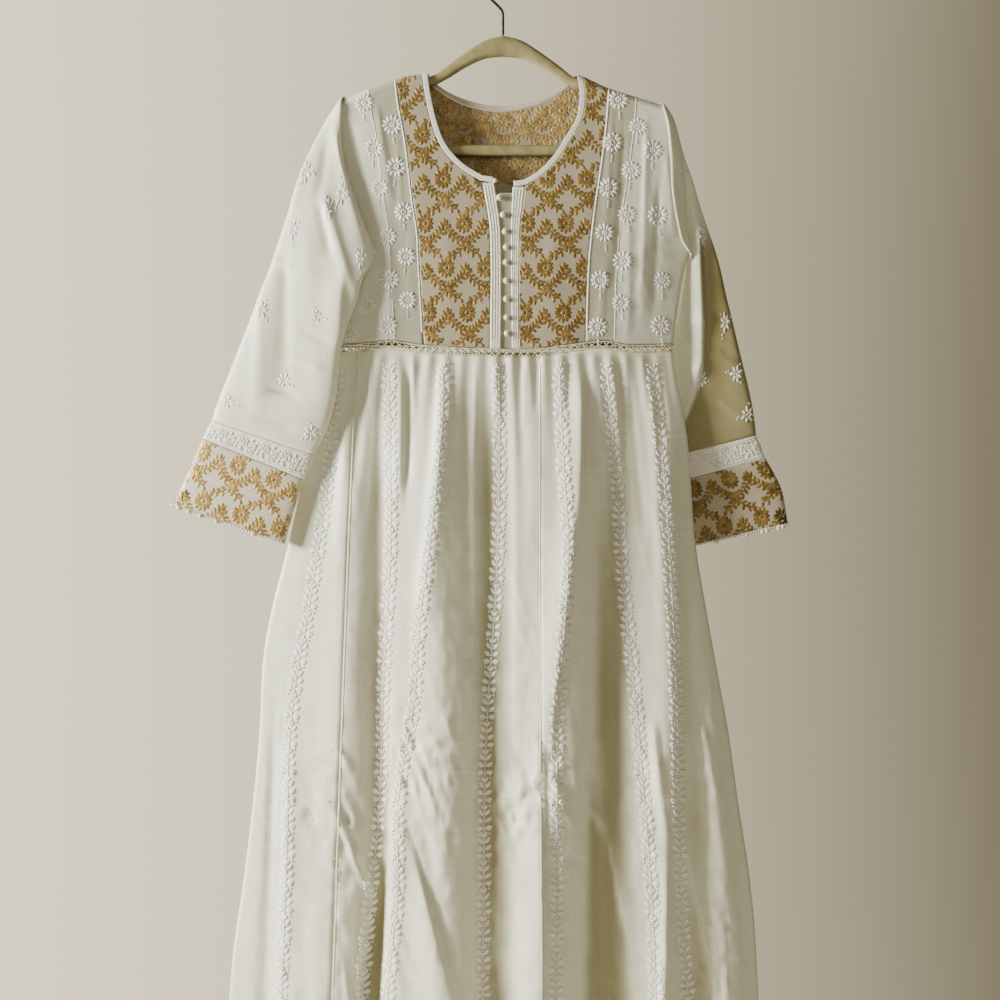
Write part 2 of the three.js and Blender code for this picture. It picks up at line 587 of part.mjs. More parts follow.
// ---------------------------------------------------------------- pearl buttons
PEARLS.forEach(({ x, z }, i) => {
  const onStrip = i === 0;
  const ball = new THREE.SphereGeometry(PEARL_RADIUS, 8, 6);
  const seat = onStrip ? -PEARL_RADIUS - SEAM : CLOTH + 0.4 - SEAM - PEARL_RADIUS;
  ball.deleteAttribute('uv');
  ball.deleteAttribute('normal');
  ball.translate(x, frontY(x, z) + seat, z);
  add(`pearl_button_${i + 1}`, mergeVertices(ball), pearl);
});

// ---------------------------------------------------------------- waist trim
/** Openwork trim: two rails joined by crossed bars, with a diamond gap in every cell. */
function waistTrim(surfaceY, waistLine) {
  const reach = rightWidth(WAIST_Z);
  const pitch = (2 * reach) / TRIM_CELLS;
  const [bar, rail] = [0.16 * pitch, 0.17 * TRIM_HEIGHT];
  const corners = [];
  const faces = [];
  const corner = (x, up) => {
    corners.push({ x, z: waistLine(x) + up });
    return corners.length - 1;
  };
  const half = TRIM_HEIGHT / 2;
  let [topLeft, bottomLeft] = [corner(-reach, half), corner(-reach, -half)];
  for (let cell = 0; cell < TRIM_CELLS; cell += 1) {
    const start = -reach + cell * pitch;
    const [topRight, bottomRight] = [corner(start + pitch, half), corner(start + pitch, -half)];
    const left = corner(start + bar, 0);
    const right = corner(start + pitch - bar, 0);
    const top = corner(start + pitch / 2, half - rail);
    const bottom = corner(start + pitch / 2, rail - half);
    faces.push(
      [topLeft, top, topRight], [topRight, top, right], [topRight, right, bottomRight], [bottomRight, right, bottom],
      [bottomRight, bottom, bottomLeft], [bottomLeft, bottom, left], [bottomLeft, left, topLeft], [topLeft, left, top],
    );
    [topLeft, bottomLeft] = [topRight, bottomRight];
  }
  const points = corners.map(({ x, z }) => new THREE.Vector3(x, surfaceY(x, z), z));
  const normals = corners.map(({ x, z }) => bodyNormal(surfaceY, x, z));
  const facing = surfaceY === frontY ? faces : faces.map(([a, b, c]) => [c, b, a]);
  return wall({ points, normals, faces: facing });
}
add('waist_trim_front', waistTrim(frontY, frontWaistZ), lattice);
add('waist_trim_back', waistTrim(backY, backWaistZ), lattice);

// ---------------------------------------------------------------- skirt
const SKIRT_ROWS = [0, 0.009, 0.022, 0.05, 0.1, 0.18, 0.28, 0.4, 0.52, 0.64, 0.76, 0.88, 1];
const skirtSeamLeft = reader(SKIRT_SEAMS, 'z', 'left');
const skirtSeamRight = reader(SKIRT_SEAMS, 'z', 'right');

/** An edge of a skirt panel: down the fraction from the trim to the hem, at the x that a function of z gives. */
function skirtEdge(edgeX, waistLine) {
  const startZ = waistLine(edgeX(WAIST_Z)) - TRIM_HEIGHT / 2 - SEAM;
  return (down) => {
    const z = THREE.MathUtils.lerp(startZ, HEM_Z, down);
    return { x: edgeX(z), z };
  };
}

/** A skirt panel whose top row follows the waist and whose hem is level. */
function skirtPanel(surfaceY, waistLine, leftX, rightX, acrosses) {
  const [leftEdge, rightEdge] = [skirtEdge(leftX, waistLine), skirtEdge(rightX, waistLine)];
  const points = [];
  const normals = [];
  for (const down of SKIRT_ROWS) {
    for (const across of acrosses) {
      const x = THREE.MathUtils.lerp(leftEdge(down).x, rightEdge(down).x, across);
      const topZ = waistLine(x) - TRIM_HEIGHT / 2 - SEAM;
      const z = THREE.MathUtils.lerp(topZ, HEM_Z, down);
      const inside = Math.sign(x) * Math.min(Math.abs(x), halfWidth(x, z));
      points.push(new THREE.Vector3(inside, surfaceY(inside, z), z));
      normals.push(bodyNormal(surfaceY, inside, z));
    }
  }
  return wall({ points, normals, faces: gridFaces(SKIRT_ROWS.length, acrosses.length, false, surfaceY === backY) });
}
const LEFT_PANEL_COLUMNS = [0, 0.008, 0.04, 0.14, 0.32, 0.54, 0.77, 1];
const sideColumns = (count) => [...fractions(count).map((value) => value * 0.93), 0.975, 0.995, 1];
const leftSeamPlus = (z) => skirtSeamLeft(z) + SEAM;
const rightSeamPlus = (z) => skirtSeamRight(z) + SEAM;
const leftSide = (z) => -leftWidth(z);
for (const [side, surfaceY, waistLine, middleColumns, rightColumns] of [
  ['front', frontY, frontWaistZ, 30, 20],
  ['back', backY, backWaistZ, 24, 16],
]) {
  add(`skirt_${side}_left`, skirtPanel(surfaceY, waistLine, leftSide, skirtSeamLeft, LEFT_PANEL_COLUMNS), cotton);
  add(`skirt_${side}_centre`, skirtPanel(surfaceY, waistLine, leftSeamPlus, skirtSeamRight, fractions(middleColumns)),
    cotton);
  add(`skirt_${side}_right`, skirtPanel(surfaceY, waistLine, rightSeamPlus, rightWidth, sideColumns(rightColumns)),
    cotton);
}

// ---------------------------------------------------------------- sleeves
const HALF_RING = SLEEVE_POINTS / 2;

/** A flattened ring between an outer and an inner edge: full in the middle, blunt at its two folds. */
function freeRing(row) {
  const ring = [];
  for (let i = 0; i < SLEEVE_POINTS; i += 1) {
    const angle = (2 * Math.PI * i) / SLEEVE_POINTS;
    const t = (1 - Math.cos(angle)) / 2;
    const layer = -Math.sign(Math.sin(angle)) * Math.abs(Math.sin(angle)) ** 0.7;
    ring.push(new THREE.Vector3(
      THREE.MathUtils.lerp(row.outerX, row.innerX, t),
      THREE.MathUtils.lerp(row.outerY, row.innerY, t) + row.depth * layer,
      THREE.MathUtils.lerp(row.outerZ, row.innerZ, t),
    ));
  }
  return ring;
}

/** A point on the body moved out, with the body's normal there. */
function lapped(surfaceY, { x, z }, lap = LAP) {
  const normal = bodyNormal(surfaceY, x, z);
  const point = new THREE.Vector3(x, surfaceY(x, z), z).addScaledVector(normal, lap);
  return { point, normal };
}

// the sleeve's first ring: how far down the armhole its points sit, close together over the shoulder
const TIP_X = 191; // its highest point, on the shoulder seam
const FLAP_END_X = -219; // where the left sleeve's front flap meets the side seam under the arm
const UNDERARM_REACH = 230; // its lowest point, outside the side seam
const HEAD_DROPS = [0, 0.012, 0.05, 0.15, 0.29, 0.43, 0.57, 0.71, 0.84, 0.94, 1];
const LEFT_BACK_DROPS = [0, 0.012, 0.06, 0.28, 0.58, 0.84];
const UNDERARM_STEPS = 4; // points of the left sleeve's first ring that run under the arm in front of the body

/** The sleeve's first ring, outside the body: over the shoulder, down in front, under the arm and up behind. */
function headRing(side) {
  const seam = fromShoulder(SLEEVE_SEAM.map((row) => ({ x: side * row.x, z: row.z })));
  const front = path(side < 0 ? fromShoulder(LEFT_LAP) : seam);
  const back = path(seam);
  const tipX = side * TIP_X;
  const tip = { point: new THREE.Vector3(tipX, 0, shoulderZ(tipX) + LAP), normal: new THREE.Vector3(0, 0, 1) };
  const underarm = {
    point: new THREE.Vector3(side * UNDERARM_REACH, 0, UNDERARM_Z - 4),
    normal: new THREE.Vector3(side, 0, 0),
  };
  const frontPoints = HEAD_DROPS.slice(1).map((drop) => lapped(frontY, front(drop)));
  if (side > 0) {
    const backPoints = HEAD_DROPS.slice(1, -1).reverse().map((drop) => lapped(backY, back(drop)));
    return [tip, ...frontPoints.slice(0, -1), underarm, ...backPoints];
  }
  const start = LEFT_LAP[LEFT_LAP.length - 1].x;
  const under = fractions(UNDERARM_STEPS - 1).slice(1).map((at) => (
    lapped(frontY, { x: THREE.MathUtils.lerp(start, FLAP_END_X, at), z: UNDERARM_Z - 6 }, LAP + 2 * at)));
  const backPoints = LEFT_BACK_DROPS.slice(1).reverse().map((drop) => lapped(backY, back(drop), LAP + 1));
  return [tip, ...frontPoints, ...under, underarm, ...backPoints];
}

/** Keeps a point of a sleeve outside the body where the sleeve hangs across it. */
function clearOfBody(point, side) {
  const surfaceY = side < 0 ? frontY : backY;
  const width = halfWidth(point.x, point.z) + LAP;
  if (point.z > UNDERARM_Z + 2 || Math.abs(point.x) > width) return point;
  const reach = Math.min(Math.abs(point.x), width - LAP - 0.5);
  const limit = surfaceY(side * reach, point.z) + side * (LAP + 0.6);
  point.y = side < 0 ? Math.min(point.y, limit) : Math.max(point.y, limit);
  return point;
}

function sleeve(side, table) {
  const head = headRing(side);
  const collar = head.map(({ point, normal }, i) => {
    const under = Math.abs(i - HALF_RING) < 5 ? 0.5 : 0.1;
    const away = new THREE.Vector3(side, 0, -under).projectOnPlane(normal).normalize();
    return point.clone().addScaledVector(away, 2.5).addScaledVector(normal, 0.4);
  });
  const rings = [head.map(({ point }) => point), collar];
  table.forEach((row, k) => {
    const free = freeRing(row);
    rings.push(free.map((point, i) => {
      const backward = Math.max(-Math.sin((2 * Math.PI * i) / SLEEVE_POINTS), 0) ** 0.5;
      const join = THREE.MathUtils.lerp(row.front, row.back, backward);
      const held = collar[i].clone().add(new THREE.Vector3(side * 5 * (k + 1), 0, -5 * (k + 1)));
      return clearOfBody(held.lerp(point, join), side);
    }));
  });
  return tube(rings, side, head.map(({ normal }) => normal));
}

/** A wall through rings that run round a sleeve; the right one is turned to keep its faces outward. */
function tube(rings, side, firstNormals) {
  const points = rings.flat();
  const normals = tubeNormals(rings, firstNormals);
  if (side > 0) normals.forEach((normal, i) => (firstNormals && i < SLEEVE_POINTS ? normal : normal.negate()));
  return wall({ points, normals, faces: gridFaces(rings.length, SLEEVE_POINTS, true, side > 0) });
}
const ringsOf = (table, side) => table.map((row) => freeRing(row).map((point) => clearOfBody(point, side)));
for (const [name, side, sleeveRows, bandRows, cuffRows] of [
  ['left', -1, SLEEVE_LEFT, BAND_LEFT, CUFF_LEFT],
  ['right', 1, SLEEVE_RIGHT, BAND_RIGHT, CUFF_RIGHT],
]) {
  add(`sleeve_${name}`, sleeve(side, sleeveRows), cotton);
  add(`sleeve_band_${name}`, tube(ringsOf(bandRows, side), side), cotton);
  add(`cuff_${name}`, tube(ringsOf(cuffRows, side), side), brocade);
}

// ---------------------------------------------------------------- hanger and hook
/** The hanger's frame: one closed loop of rounded sections, each between its outer and its inner edge. */
function hangerFrame() {
  const onArm = (x, drop) => shoulderZ(x) - HANGER_DROP - drop;
  const halfLoop = (side) => [
    { outer: [side * 22, -86], inner: [side * 21, -108] },
    { outer: [side * 46, -101], inner: [side * 44, -118] },
    { outer: [side * 68, -117], inner: [side * 65, -131] },
    { outer: [side * 87, onArm(side * 87, 1.6)], inner: [side * 83, onArm(side * 83, HANGER_BAR)] },
    ...[98, 125, 155].map((x) => ({
      outer: [side * x, onArm(side * x, 0)], inner: [side * (x - 4), onArm(side * (x - 4), HANGER_BAR)],
    })),
    { outer: [side * (HANGER_REACH - 6), onArm(side * HANGER_REACH, 1)],
      inner: [side * (HANGER_REACH - 15), onArm(side * HANGER_REACH, HANGER_BAR + 1)] },
    { outer: [side * (HANGER_REACH + 1), onArm(side * HANGER_REACH, 12)],
      inner: [side * (HANGER_REACH - 12), onArm(side * HANGER_REACH, HANGER_BAR + 6)] },
    { outer: [side * (HANGER_REACH - 1), HANGER_BAR_Z + 8], inner: [side * (HANGER_REACH - 13), HANGER_BAR_Z + 13] },
    { outer: [side * (HANGER_REACH - 12), HANGER_BAR_Z - HANGER_BAR / 2],
      inner: [side * (HANGER_REACH - 19), HANGER_BAR_Z + HANGER_BAR / 2] },
    { outer: [side * 90, HANGER_BAR_Z - HANGER_BAR / 2], inner: [side * 90, HANGER_BAR_Z + HANGER_BAR / 2] },
  ];
  const stations = [
    { outer: [0, HANGER_TOP_Z], inner: [0, -105.6] },
    ...halfLoop(1),
    ...halfLoop(-1).reverse(),
  ];
  const half = HANGER_THICKNESS / 2;
  const section = [[0, -0.5], [0.22, -1], [0.78, -1], [1, -0.5], [1, 0.5], [0.78, 1], [0.22, 1], [0, 0.5]];
  const positions = stations.flatMap(({ outer, inner }) => section.flatMap(([t, thick]) => [
    THREE.MathUtils.lerp(outer[0], inner[0], t), half * thick, THREE.MathUtils.lerp(outer[1], inner[1], t),
  ]));
  const geometry = new THREE.BufferGeometry();
  geometry.setAttribute('position', new THREE.Float32BufferAttribute(positions, 3));
  const faces = gridFaces(stations.length + 1, section.length, true, true);
  geometry.setIndex(faces.flat().map((i) => i % (stations.length * section.length)));
  return geometry;
}
add('hanger', hangerFrame(), hangerPlastic);

/** The wire: a straight shank, a bend to the side and most of a turn round the hook's middle. */
function hookWire() {
  const turn = HOOK_RADIUS + WIRE_RADIUS;
  const middleZ = -HOOK_RADIUS;
  const points = [
    new THREE.Vector3(0, 0, HANGER_TOP_Z + SEAM),
    new THREE.Vector3(0, 0, HANGER_TOP_Z + 14),
    new THREE.Vector3(-1, 0, middleZ - turn - 9),
    new THREE.Vector3(-8, 0, middleZ - turn - 0.5),
  ];
  for (let degrees = 215; degrees >= -20; degrees -= 23.5) {
    const angle = THREE.MathUtils.degToRad(degrees);
    points.push(new THREE.Vector3(turn * Math.cos(angle), 0, middleZ + turn * Math.sin(angle)));
  }
  const section = new THREE.Shape();
  section.absarc(0, 0, WIRE_RADIUS, 0, 2 * Math.PI, false);
  const route = new THREE.CatmullRomCurve3(points, false, 'centripetal');
  const hook = new THREE.ExtrudeGeometry(section, { steps: 36, extrudePath: route, curveSegments: 4 });
  hook.deleteAttribute('uv');
  hook.deleteAttribute('normal');
  return mergeVertices(hook, 1e-3);
}
add('hanger_hook', hookWire(), wire);

export default kurti;
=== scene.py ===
"""An ivory chikankari kurti with a brocade yoke, hanging on a coat hanger.

Shapes are worked out in millimetres, in the model's frame: +Z up, the front of the garment at -Y, the origin
where the hook bears on the rail. They are turned to metres as each mesh is made.
"""

import math

import bpy
import numpy as np
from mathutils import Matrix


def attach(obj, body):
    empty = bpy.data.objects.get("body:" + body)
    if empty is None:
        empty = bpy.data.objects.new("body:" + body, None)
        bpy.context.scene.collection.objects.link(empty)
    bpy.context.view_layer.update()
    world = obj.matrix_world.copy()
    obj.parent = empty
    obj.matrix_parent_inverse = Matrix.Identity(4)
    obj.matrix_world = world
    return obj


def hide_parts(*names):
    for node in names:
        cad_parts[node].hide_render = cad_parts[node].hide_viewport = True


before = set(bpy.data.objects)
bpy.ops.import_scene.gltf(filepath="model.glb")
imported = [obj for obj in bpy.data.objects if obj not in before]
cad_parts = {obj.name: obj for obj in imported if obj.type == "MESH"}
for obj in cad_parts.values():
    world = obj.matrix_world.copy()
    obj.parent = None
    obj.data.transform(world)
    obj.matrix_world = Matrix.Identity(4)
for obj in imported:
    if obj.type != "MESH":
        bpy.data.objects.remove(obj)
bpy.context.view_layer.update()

# ---------------------------------------------------------------- sizes
SEAM = 0.3
FOLD_RADIUS = 9.0  # how the cloth rounds over the hanger at the shoulder
SIDE_RADIUS = 4.0  # how front and back round together at the side seam
UNDERARM_Z = -346.0
WAIST_Z = -459.0
HEM_Z = -1345.0
TRIM_HEIGHT = 9.0
TRIM_CELLS = 48
BINDING_WIDTH = 6.5
GATHERS = 21
SLEEVE_POINTS = 20
LAP = 3.0  # how far a sleeve stands off the body where it laps it
COTTON = 0.8  # thickness of the fine cotton
SILK = 0.9  # thickness of the brocade
FOLD_HIGH_Z = -641.0
FOLD_LOW_Z = -1181.0
HANGER_TOP_Z = -80.4
HANGER_REACH = 186.0
HANGER_BAR_Z = -219.0
HANGER_BAR = 13.0
HANGER_THICKNESS = 12.0
HANGER_DROP = 3.4
HANGER_SIDES = 20
WIRE_RADIUS = 1.7
HOOK_RADIUS = 20.0
NARROWEST_CUT = 0.0101  # metres: a binding's cut is taken as no narrower than this
PATH_STEPS = 40  # points between two points of a smooth path
WOVEN_MARGIN = 0.6  # how far the woven pattern stays inside its panel
FLOATS_END_Z = -258.0
PEARL_RADIUS = 3.0
LOOP_RADIUS = 3.6
LOOP_ROOT_X = 11.5  # where the button loops spring from the right strip
HEM_STITCHES = 22  # mm above the hem


def table(names, rows):
    """Rows of numbers as one array for each named column."""
    return dict(zip(names.split(), np.array(rows, float).T))


def rows_of(columns):
    """A table's rows, each as its numbers."""
    return np.stack(list(columns.values()), axis=1)


WIDTHS = table("z left right", [
    (-100, 262, 262), (-300, 250, 250), (-330, 236, 236), (-346, 224, 224), (-400, 213, 213),
    (-459, 206, 206), (-494, 213, 210), (-560, 228, 222), (-620, 243, 227), (-697, 260, 233),
    (-776, 280, 246), (-838, 290, 257), (-920, 294, 272), (-1006, 302, 284), (-1098, 313, 298),
    (-1189, 326, 306), (-1345, 338, 312)])
SWELL = table("z front back", [
    (-110, 0, 0), (-200, 3, 1.5), (-346, 10, 4), (-459, 9, 5), (-600, 16, 9), (-900, 26, 16),
    (-1345, 34, 24)])
SHOULDER = table("x z", [
    (-260, -186), (-194, -158), (-130, -133), (-91, -125), (0, -110), (89, -127), (126, -143),
    (191, -164), (260, -188)])
WAIST = table("x z", [
    (-206, -459), (-157, -456), (-134, -454), (-91, -460), (-41, -463), (32, -465), (80, -459),
    (122, -454.2), (152, -459), (206, -457.5)])
NECK_LEFT = table("x z", [
    (-91, -125), (-87.5, -151), (-79, -188), (-68.5, -213.5), (-48, -236.5), (-25, -251)])
SLIT_LEFT = (-11.5, -253)
NECK_RIGHT = table("x z", [
    (89, -127), (92.5, -153.5), (88.5, -181), (75.5, -204), (60, -228), (40, -248), (25, -256.5)])
SLIT_RIGHT = (12.5, -258)
NECK_BACK = table("x z", [
    (-91, -125), (-80, -137), (-52, -153), (-5, -163), (44, -154), (73, -139), (89, -127)])
PLACKET_LEFT = table("z outer inner", [(-260, -24.6, -10.4), (-319, -15.6, -3.1), (-459, -15.6, -2.4)])
PLACKET_RIGHT = table("z outer inner", [(-265, 26.4, 11.6), (-319, 20, 9.6), (-459, 18.7, 10.8)])
YOKE_SEAM_LEFT = table("x z", [
    (-129, -133), (-125, -166), (-117.5, -206), (-107.5, -287), (-102.5, -317), (-100, -365),
    (-94.5, -459)])
YOKE_SEAM_RIGHT = table("x z", [
    (126.5, -143), (123.5, -185), (117.5, -235), (111, -277), (105.5, -320), (101.5, -365), (99, -459)])
ARMHOLE = table("x z", [(191.5, -160), (199, -193), (204.5, -276), (213, -318), (223, -346)])
SLEEVE_SEAM = table("x z", [(190, -160), (197.5, -193), (202.5, -276), (211, -318), (219.5, -342)])
LEFT_LAP = table("x z", [(-193, -160), (-193, -218), (-182, -265), (-166, -308), (-152, -344)])
SKIRT_SEAMS = table("z left right", [(-459, -176, 44), (-521, -178, 44), (-761, -187, 44), (-1345, -206, 46)])

# the large folds of the skirt: place, half width and height at two levels; a hollow has a negative height
FOLD_COLUMNS = "high_x low_x high_width low_width high_height low_height"
FRONT_FOLDS = table(FOLD_COLUMNS, [
    (-180, -207, 20, 36, 4, 9), (-150, -149, 13, 17, -6, -13), (-80, -74, 30, 36, 7, 14),
    (-11, -11, 26, 26, -7, -11), (88, 50, 34, 30, 7, 9), (138, 129, 20, 26, -9, -15),
    (203, 194, 22, 22, 7, 11), (224, 236, 9, 15, -2, -9), (226, 280, 12, 24, 3, 10)])
BACK_FOLDS = table(FOLD_COLUMNS, [
    (-190, -240, 22, 36, 4, 10), (-140, -160, 18, 22, -4, -11), (-92, -98, 18, 30, 6, 12),
    (-40, -36, 22, 26, -5, -10), (12, 22, 18, 30, 6, 13), (66, 82, 20, 22, -5, -11),
    (118, 148, 20, 32, 6, 12), (168, 210, 16, 20, -4, -8), (200, 262, 14, 26, 2, 9)])

# sections of the sleeves: outer edge, inner edge, half depth, and how far each layer is free of the armhole
SECTION_COLUMNS = "outer_x outer_y outer_z inner_x inner_y inner_z depth front back"
SLEEVE_LEFT = table(SECTION_COLUMNS, [
    (-217, -3, -188, -157, -24, -360, 7, 0.8, 0.02), (-237, -6, -231, -168, -25, -376, 8, 1, 0.1),
    (-257, -8, -291, -174, -25, -400, 9, 1, 0.35), (-276, -9, -348, -183, -24, -425, 9, 1, 0.75),
    (-296, -10, -402, -196, -23, -455, 9, 1, 1), (-315, -11, -452, -200, -23, -487, 9, 1, 1),
    (-332, -12, -495, -203, -23, -519, 10, 1, 1), (-343, -12, -524, -211, -22, -556, 10, 1, 1),
    (-350, -12, -545.5, -226, -20, -587, 9, 1, 1)])
BAND_LEFT = table(SECTION_COLUMNS, [
    (-350, -12, -545.9, -226, -20, -587.4, 9, 1, 1), (-360.5, -12, -566.5, -238.5, -18, -615.5, 8, 1, 1)])
CUFF_LEFT = table(SECTION_COLUMNS, [
    (-361.5, -12, -567, -239, -18, -616, 8, 1, 1), (-379, -12, -608, -251, -17, -655, 8, 1, 1),
    (-396, -12, -647, -262, -16, -694, 8, 1, 1)])
SLEEVE_RIGHT = table(SECTION_COLUMNS, [
    (210, 0, -188, 229, 4, -362, 8, 0.7, 0.7), (221, 2, -233, 226, 13, -392, 9, 1, 1),
    (240, 4, -290, 212, 20, -424, 10, 1, 1), (260, 6, -350, 200, 23, -456, 10, 1, 1),
    (274, 8, -407, 193, 25, -488, 10, 1, 1), (287, 9, -461, 189, 26, -521, 10, 1, 1),
    (299, 10, -510, 187, 28, -554, 10, 1, 1), (305, 10, -543, 189, 29, -578, 10, 1, 1),
    (307, 10, -562.6, 190, 29, -592.6, 9, 1, 1)])
BAND_RIGHT = table(SECTION_COLUMNS, [
    (307, 10, -563, 190, 29, -593, 9, 1, 1), (318, 11, -590, 198, 29, -621, 8, 1, 1)])
CUFF_RIGHT = table(SECTION_COLUMNS, [
    (319, 11, -590.4, 198, 29, -621.4, 8, 1, 1), (338, 12, -628, 208, 29, -661, 8, 1, 1),
    (346, 12, -671, 219, 28, -700, 8, 1, 1)])

# creases: a line from its upper to its lower end, the width of the bell on its left and right, and its
# height; a trough has a negative height. Those that run out of the hem end below it.
CREASE_COLUMNS = "x0 z0 x1 z1 left_width right_width height"
FRONT_CREASES = table(CREASE_COLUMNS, [
    # upper skirt, from the left side to the right
    (-186, -475, -196, -760, 8, 6, 2.4), (-170, -470, -178, -640, 5, 7, -2.4),
    (-150, -470, -160, -690, 5, 4, 1.6), (-122, -466, -122, -660, 12, 3.5, 3.8),
    (-113, -468, -116, -640, 4, 5, -2.6), (-64, -464, -98, -840, 12, 18, 5.4),
    (-74, -470, -80, -660, 4, 4, 1.2), (-15, -480, -14, -1180, 15, 12, -4.0),
    (-33, -474, -36, -620, 2, 2, 1.1), (-44, -474, -40, -900, 6, 5, -1.5),
    (14, -474, 16, -980, 5, 10, 1.6), (40, -470, 44, -700, 10, 9, 2.0),
    (96, -480, 90, -700, 18, 3.5, 5.0), (91, -640, 52, -960, 20, 3, 6.0),
    (112, -480, 122, -1000, 12, 9, -4.4), (134, -470, 150, -760, 8, 10, 2.2),
    (150, -480, 170, -700, 4, 5, -1.8), (176, -470, 196, -830, 8, 4, 2.4),
    # short ones under the gathers
    (-160, -466, -158, -540, 3, 3, 1.4), (-108, -464, -106, -548, 2.5, 2.5, 1.3),
    (-62, -468, -64, -560, 3, 3, 1.2), (-8, -472, -6, -552, 3, 3, 1.3), (24, -472, 26, -566, 3, 3, 1.2),
    (40, -470, 40, -540, 2.5, 2.5, -1.4), (76, -464, 76, -548, 2.5, 3, -1.5),
    (116, -462, 119, -560, 3, 3, 1.3), (140, -462, 146, -548, 3, 3, -1.3),
    (166, -464, 172, -548, 3, 4, 1.2), (188, -466, 196, -560, 3, 3, -1.2),
    # the great fold left of the middle and the dark pleat beside it
    (-129, -975, -160, -1500, 3, 24, 9), (-121, -1010, 20, -1500, 30, 3.5, 7),
    (-141, -1080, -196, -1480, 9, 12, -13), (-96, -1000, -60, -1240, 8, 10, -3),
    # the side fold on the left, and crumples beside it
    (-255, -880, -268, -1500, 5, 26, 4.5), (-274, -860, -292, -1480, 8, 5, -4.5),
    (-223, -986, -190, -1031, 4, 4, 3.4), (-195, -1022, -150, -1132, 4, 5, 4.2),
    (-202, -1024, -166, -1043, 3, 4, 3), (-206, -928, -178, -964, 3, 4, 3),
    (-236, -1000, -214, -1066, 4, 4, -3), (-216, -1052, -196, -1092, 4, 4, 2.4),
    (-228, -1100, -214, -1300, 6, 4, 2.2), (-190, -1190, -170, -1330, 4, 4, 2.6),
    (-240, -1190, -226, -1420, 5, 6, -2.6),
    # the long edge right of the middle, with the pinch at its top
    (44, -940, 53, -1500, 24, 3, 7.5), (43, -972, -14, -1016, 5, 4, 2.4),
    (38, -976, 12, -1050, 4, 6, 2.2), (48, -965, 66, -990, 3, 4, 2.2), (44, -925, 42, -985, 5, 5, 3),
    # the dark pleat, its bright lip and the folds to the right side
    (105, -930, 120, -1500, 13, 8, -8), (99, -1004, 124, -1040, 3, 7, 3.5),
    (120, -1028, 150, -1170, 3, 12, 4.6), (148, -1150, 158, -1230, 4, 6, 1.8),
    (178, -900, 189, -1016, 5, 5, 5), (188, -1000, 196, -1052, 4, 5, 3.5),
    (196, -1032, 186, -1500, 6, 5, 6.5), (206, -1030, 232, -1500, 11, 10, -8),
    (214, -1020, 300, -1500, 4, 24, 7), (250, -985, 262, -1002, 5, 8, 3), (236, -900, 252, -985, 8, 5, 3),
    (244, -1120, 262, -1140, 3, 3, 2), (262, -1130, 268, -1260, 3, 3, 2),
    (276, -1110, 286, -1230, 2.5, 2.5, 1.8), (256, -1190, 262, -1300, 3, 3, -2),
    # the crease from folding flat, in pieces
    (-300, -968, -230, -974, 1.8, 2.2, -0.9), (-170, -972, -128, -968, 1.8, 2.2, 0.9),
    (-118, -962, -50, -968, 1.8, 2.4, -0.9), (-44, -966, 36, -964, 1.8, 2, 0.8),
    (104, -960, 150, -962, 1.6, 2, -1.0), (222, -1000, 262, -1002, 1.6, 2, 1.0),
    # bodice: soft tucks between the flowers, and drags from the armholes
    (-152, -160, -132, -300, 5, 4, 1.6), (-128, -190, -120, -330, 2, 2, 1.0),
    (-112, -300, -108, -440, 2, 2, 0.9), (-140, -330, -134, -450, 5, 4, 1.3),
    (-186, -180, -158, -300, 9, 6, -2.2), (-160, -340, -156, -450, 5, 5, -1.4),
    (-182, -360, -176, -450, 6, 5, 1.6), (132, -160, 122, -330, 2, 2, 1.0),
    (126, -340, 114, -450, 2.5, 2, 1.0), (172, -170, 164, -440, 2, 7, 1.8),
    (146, -180, 136, -400, 4, 4, -1.2), (188, -250, 180, -430, 4, 5, -1.6),
    (196, -220, 206, -330, 6, 4, 1.6), (152, -300, 150, -450, 3, 3, 1.0),
    (-66, -300, -62, -450, 12, 12, 0.7), (62, -290, 60, -450, 12, 12, 0.7)])
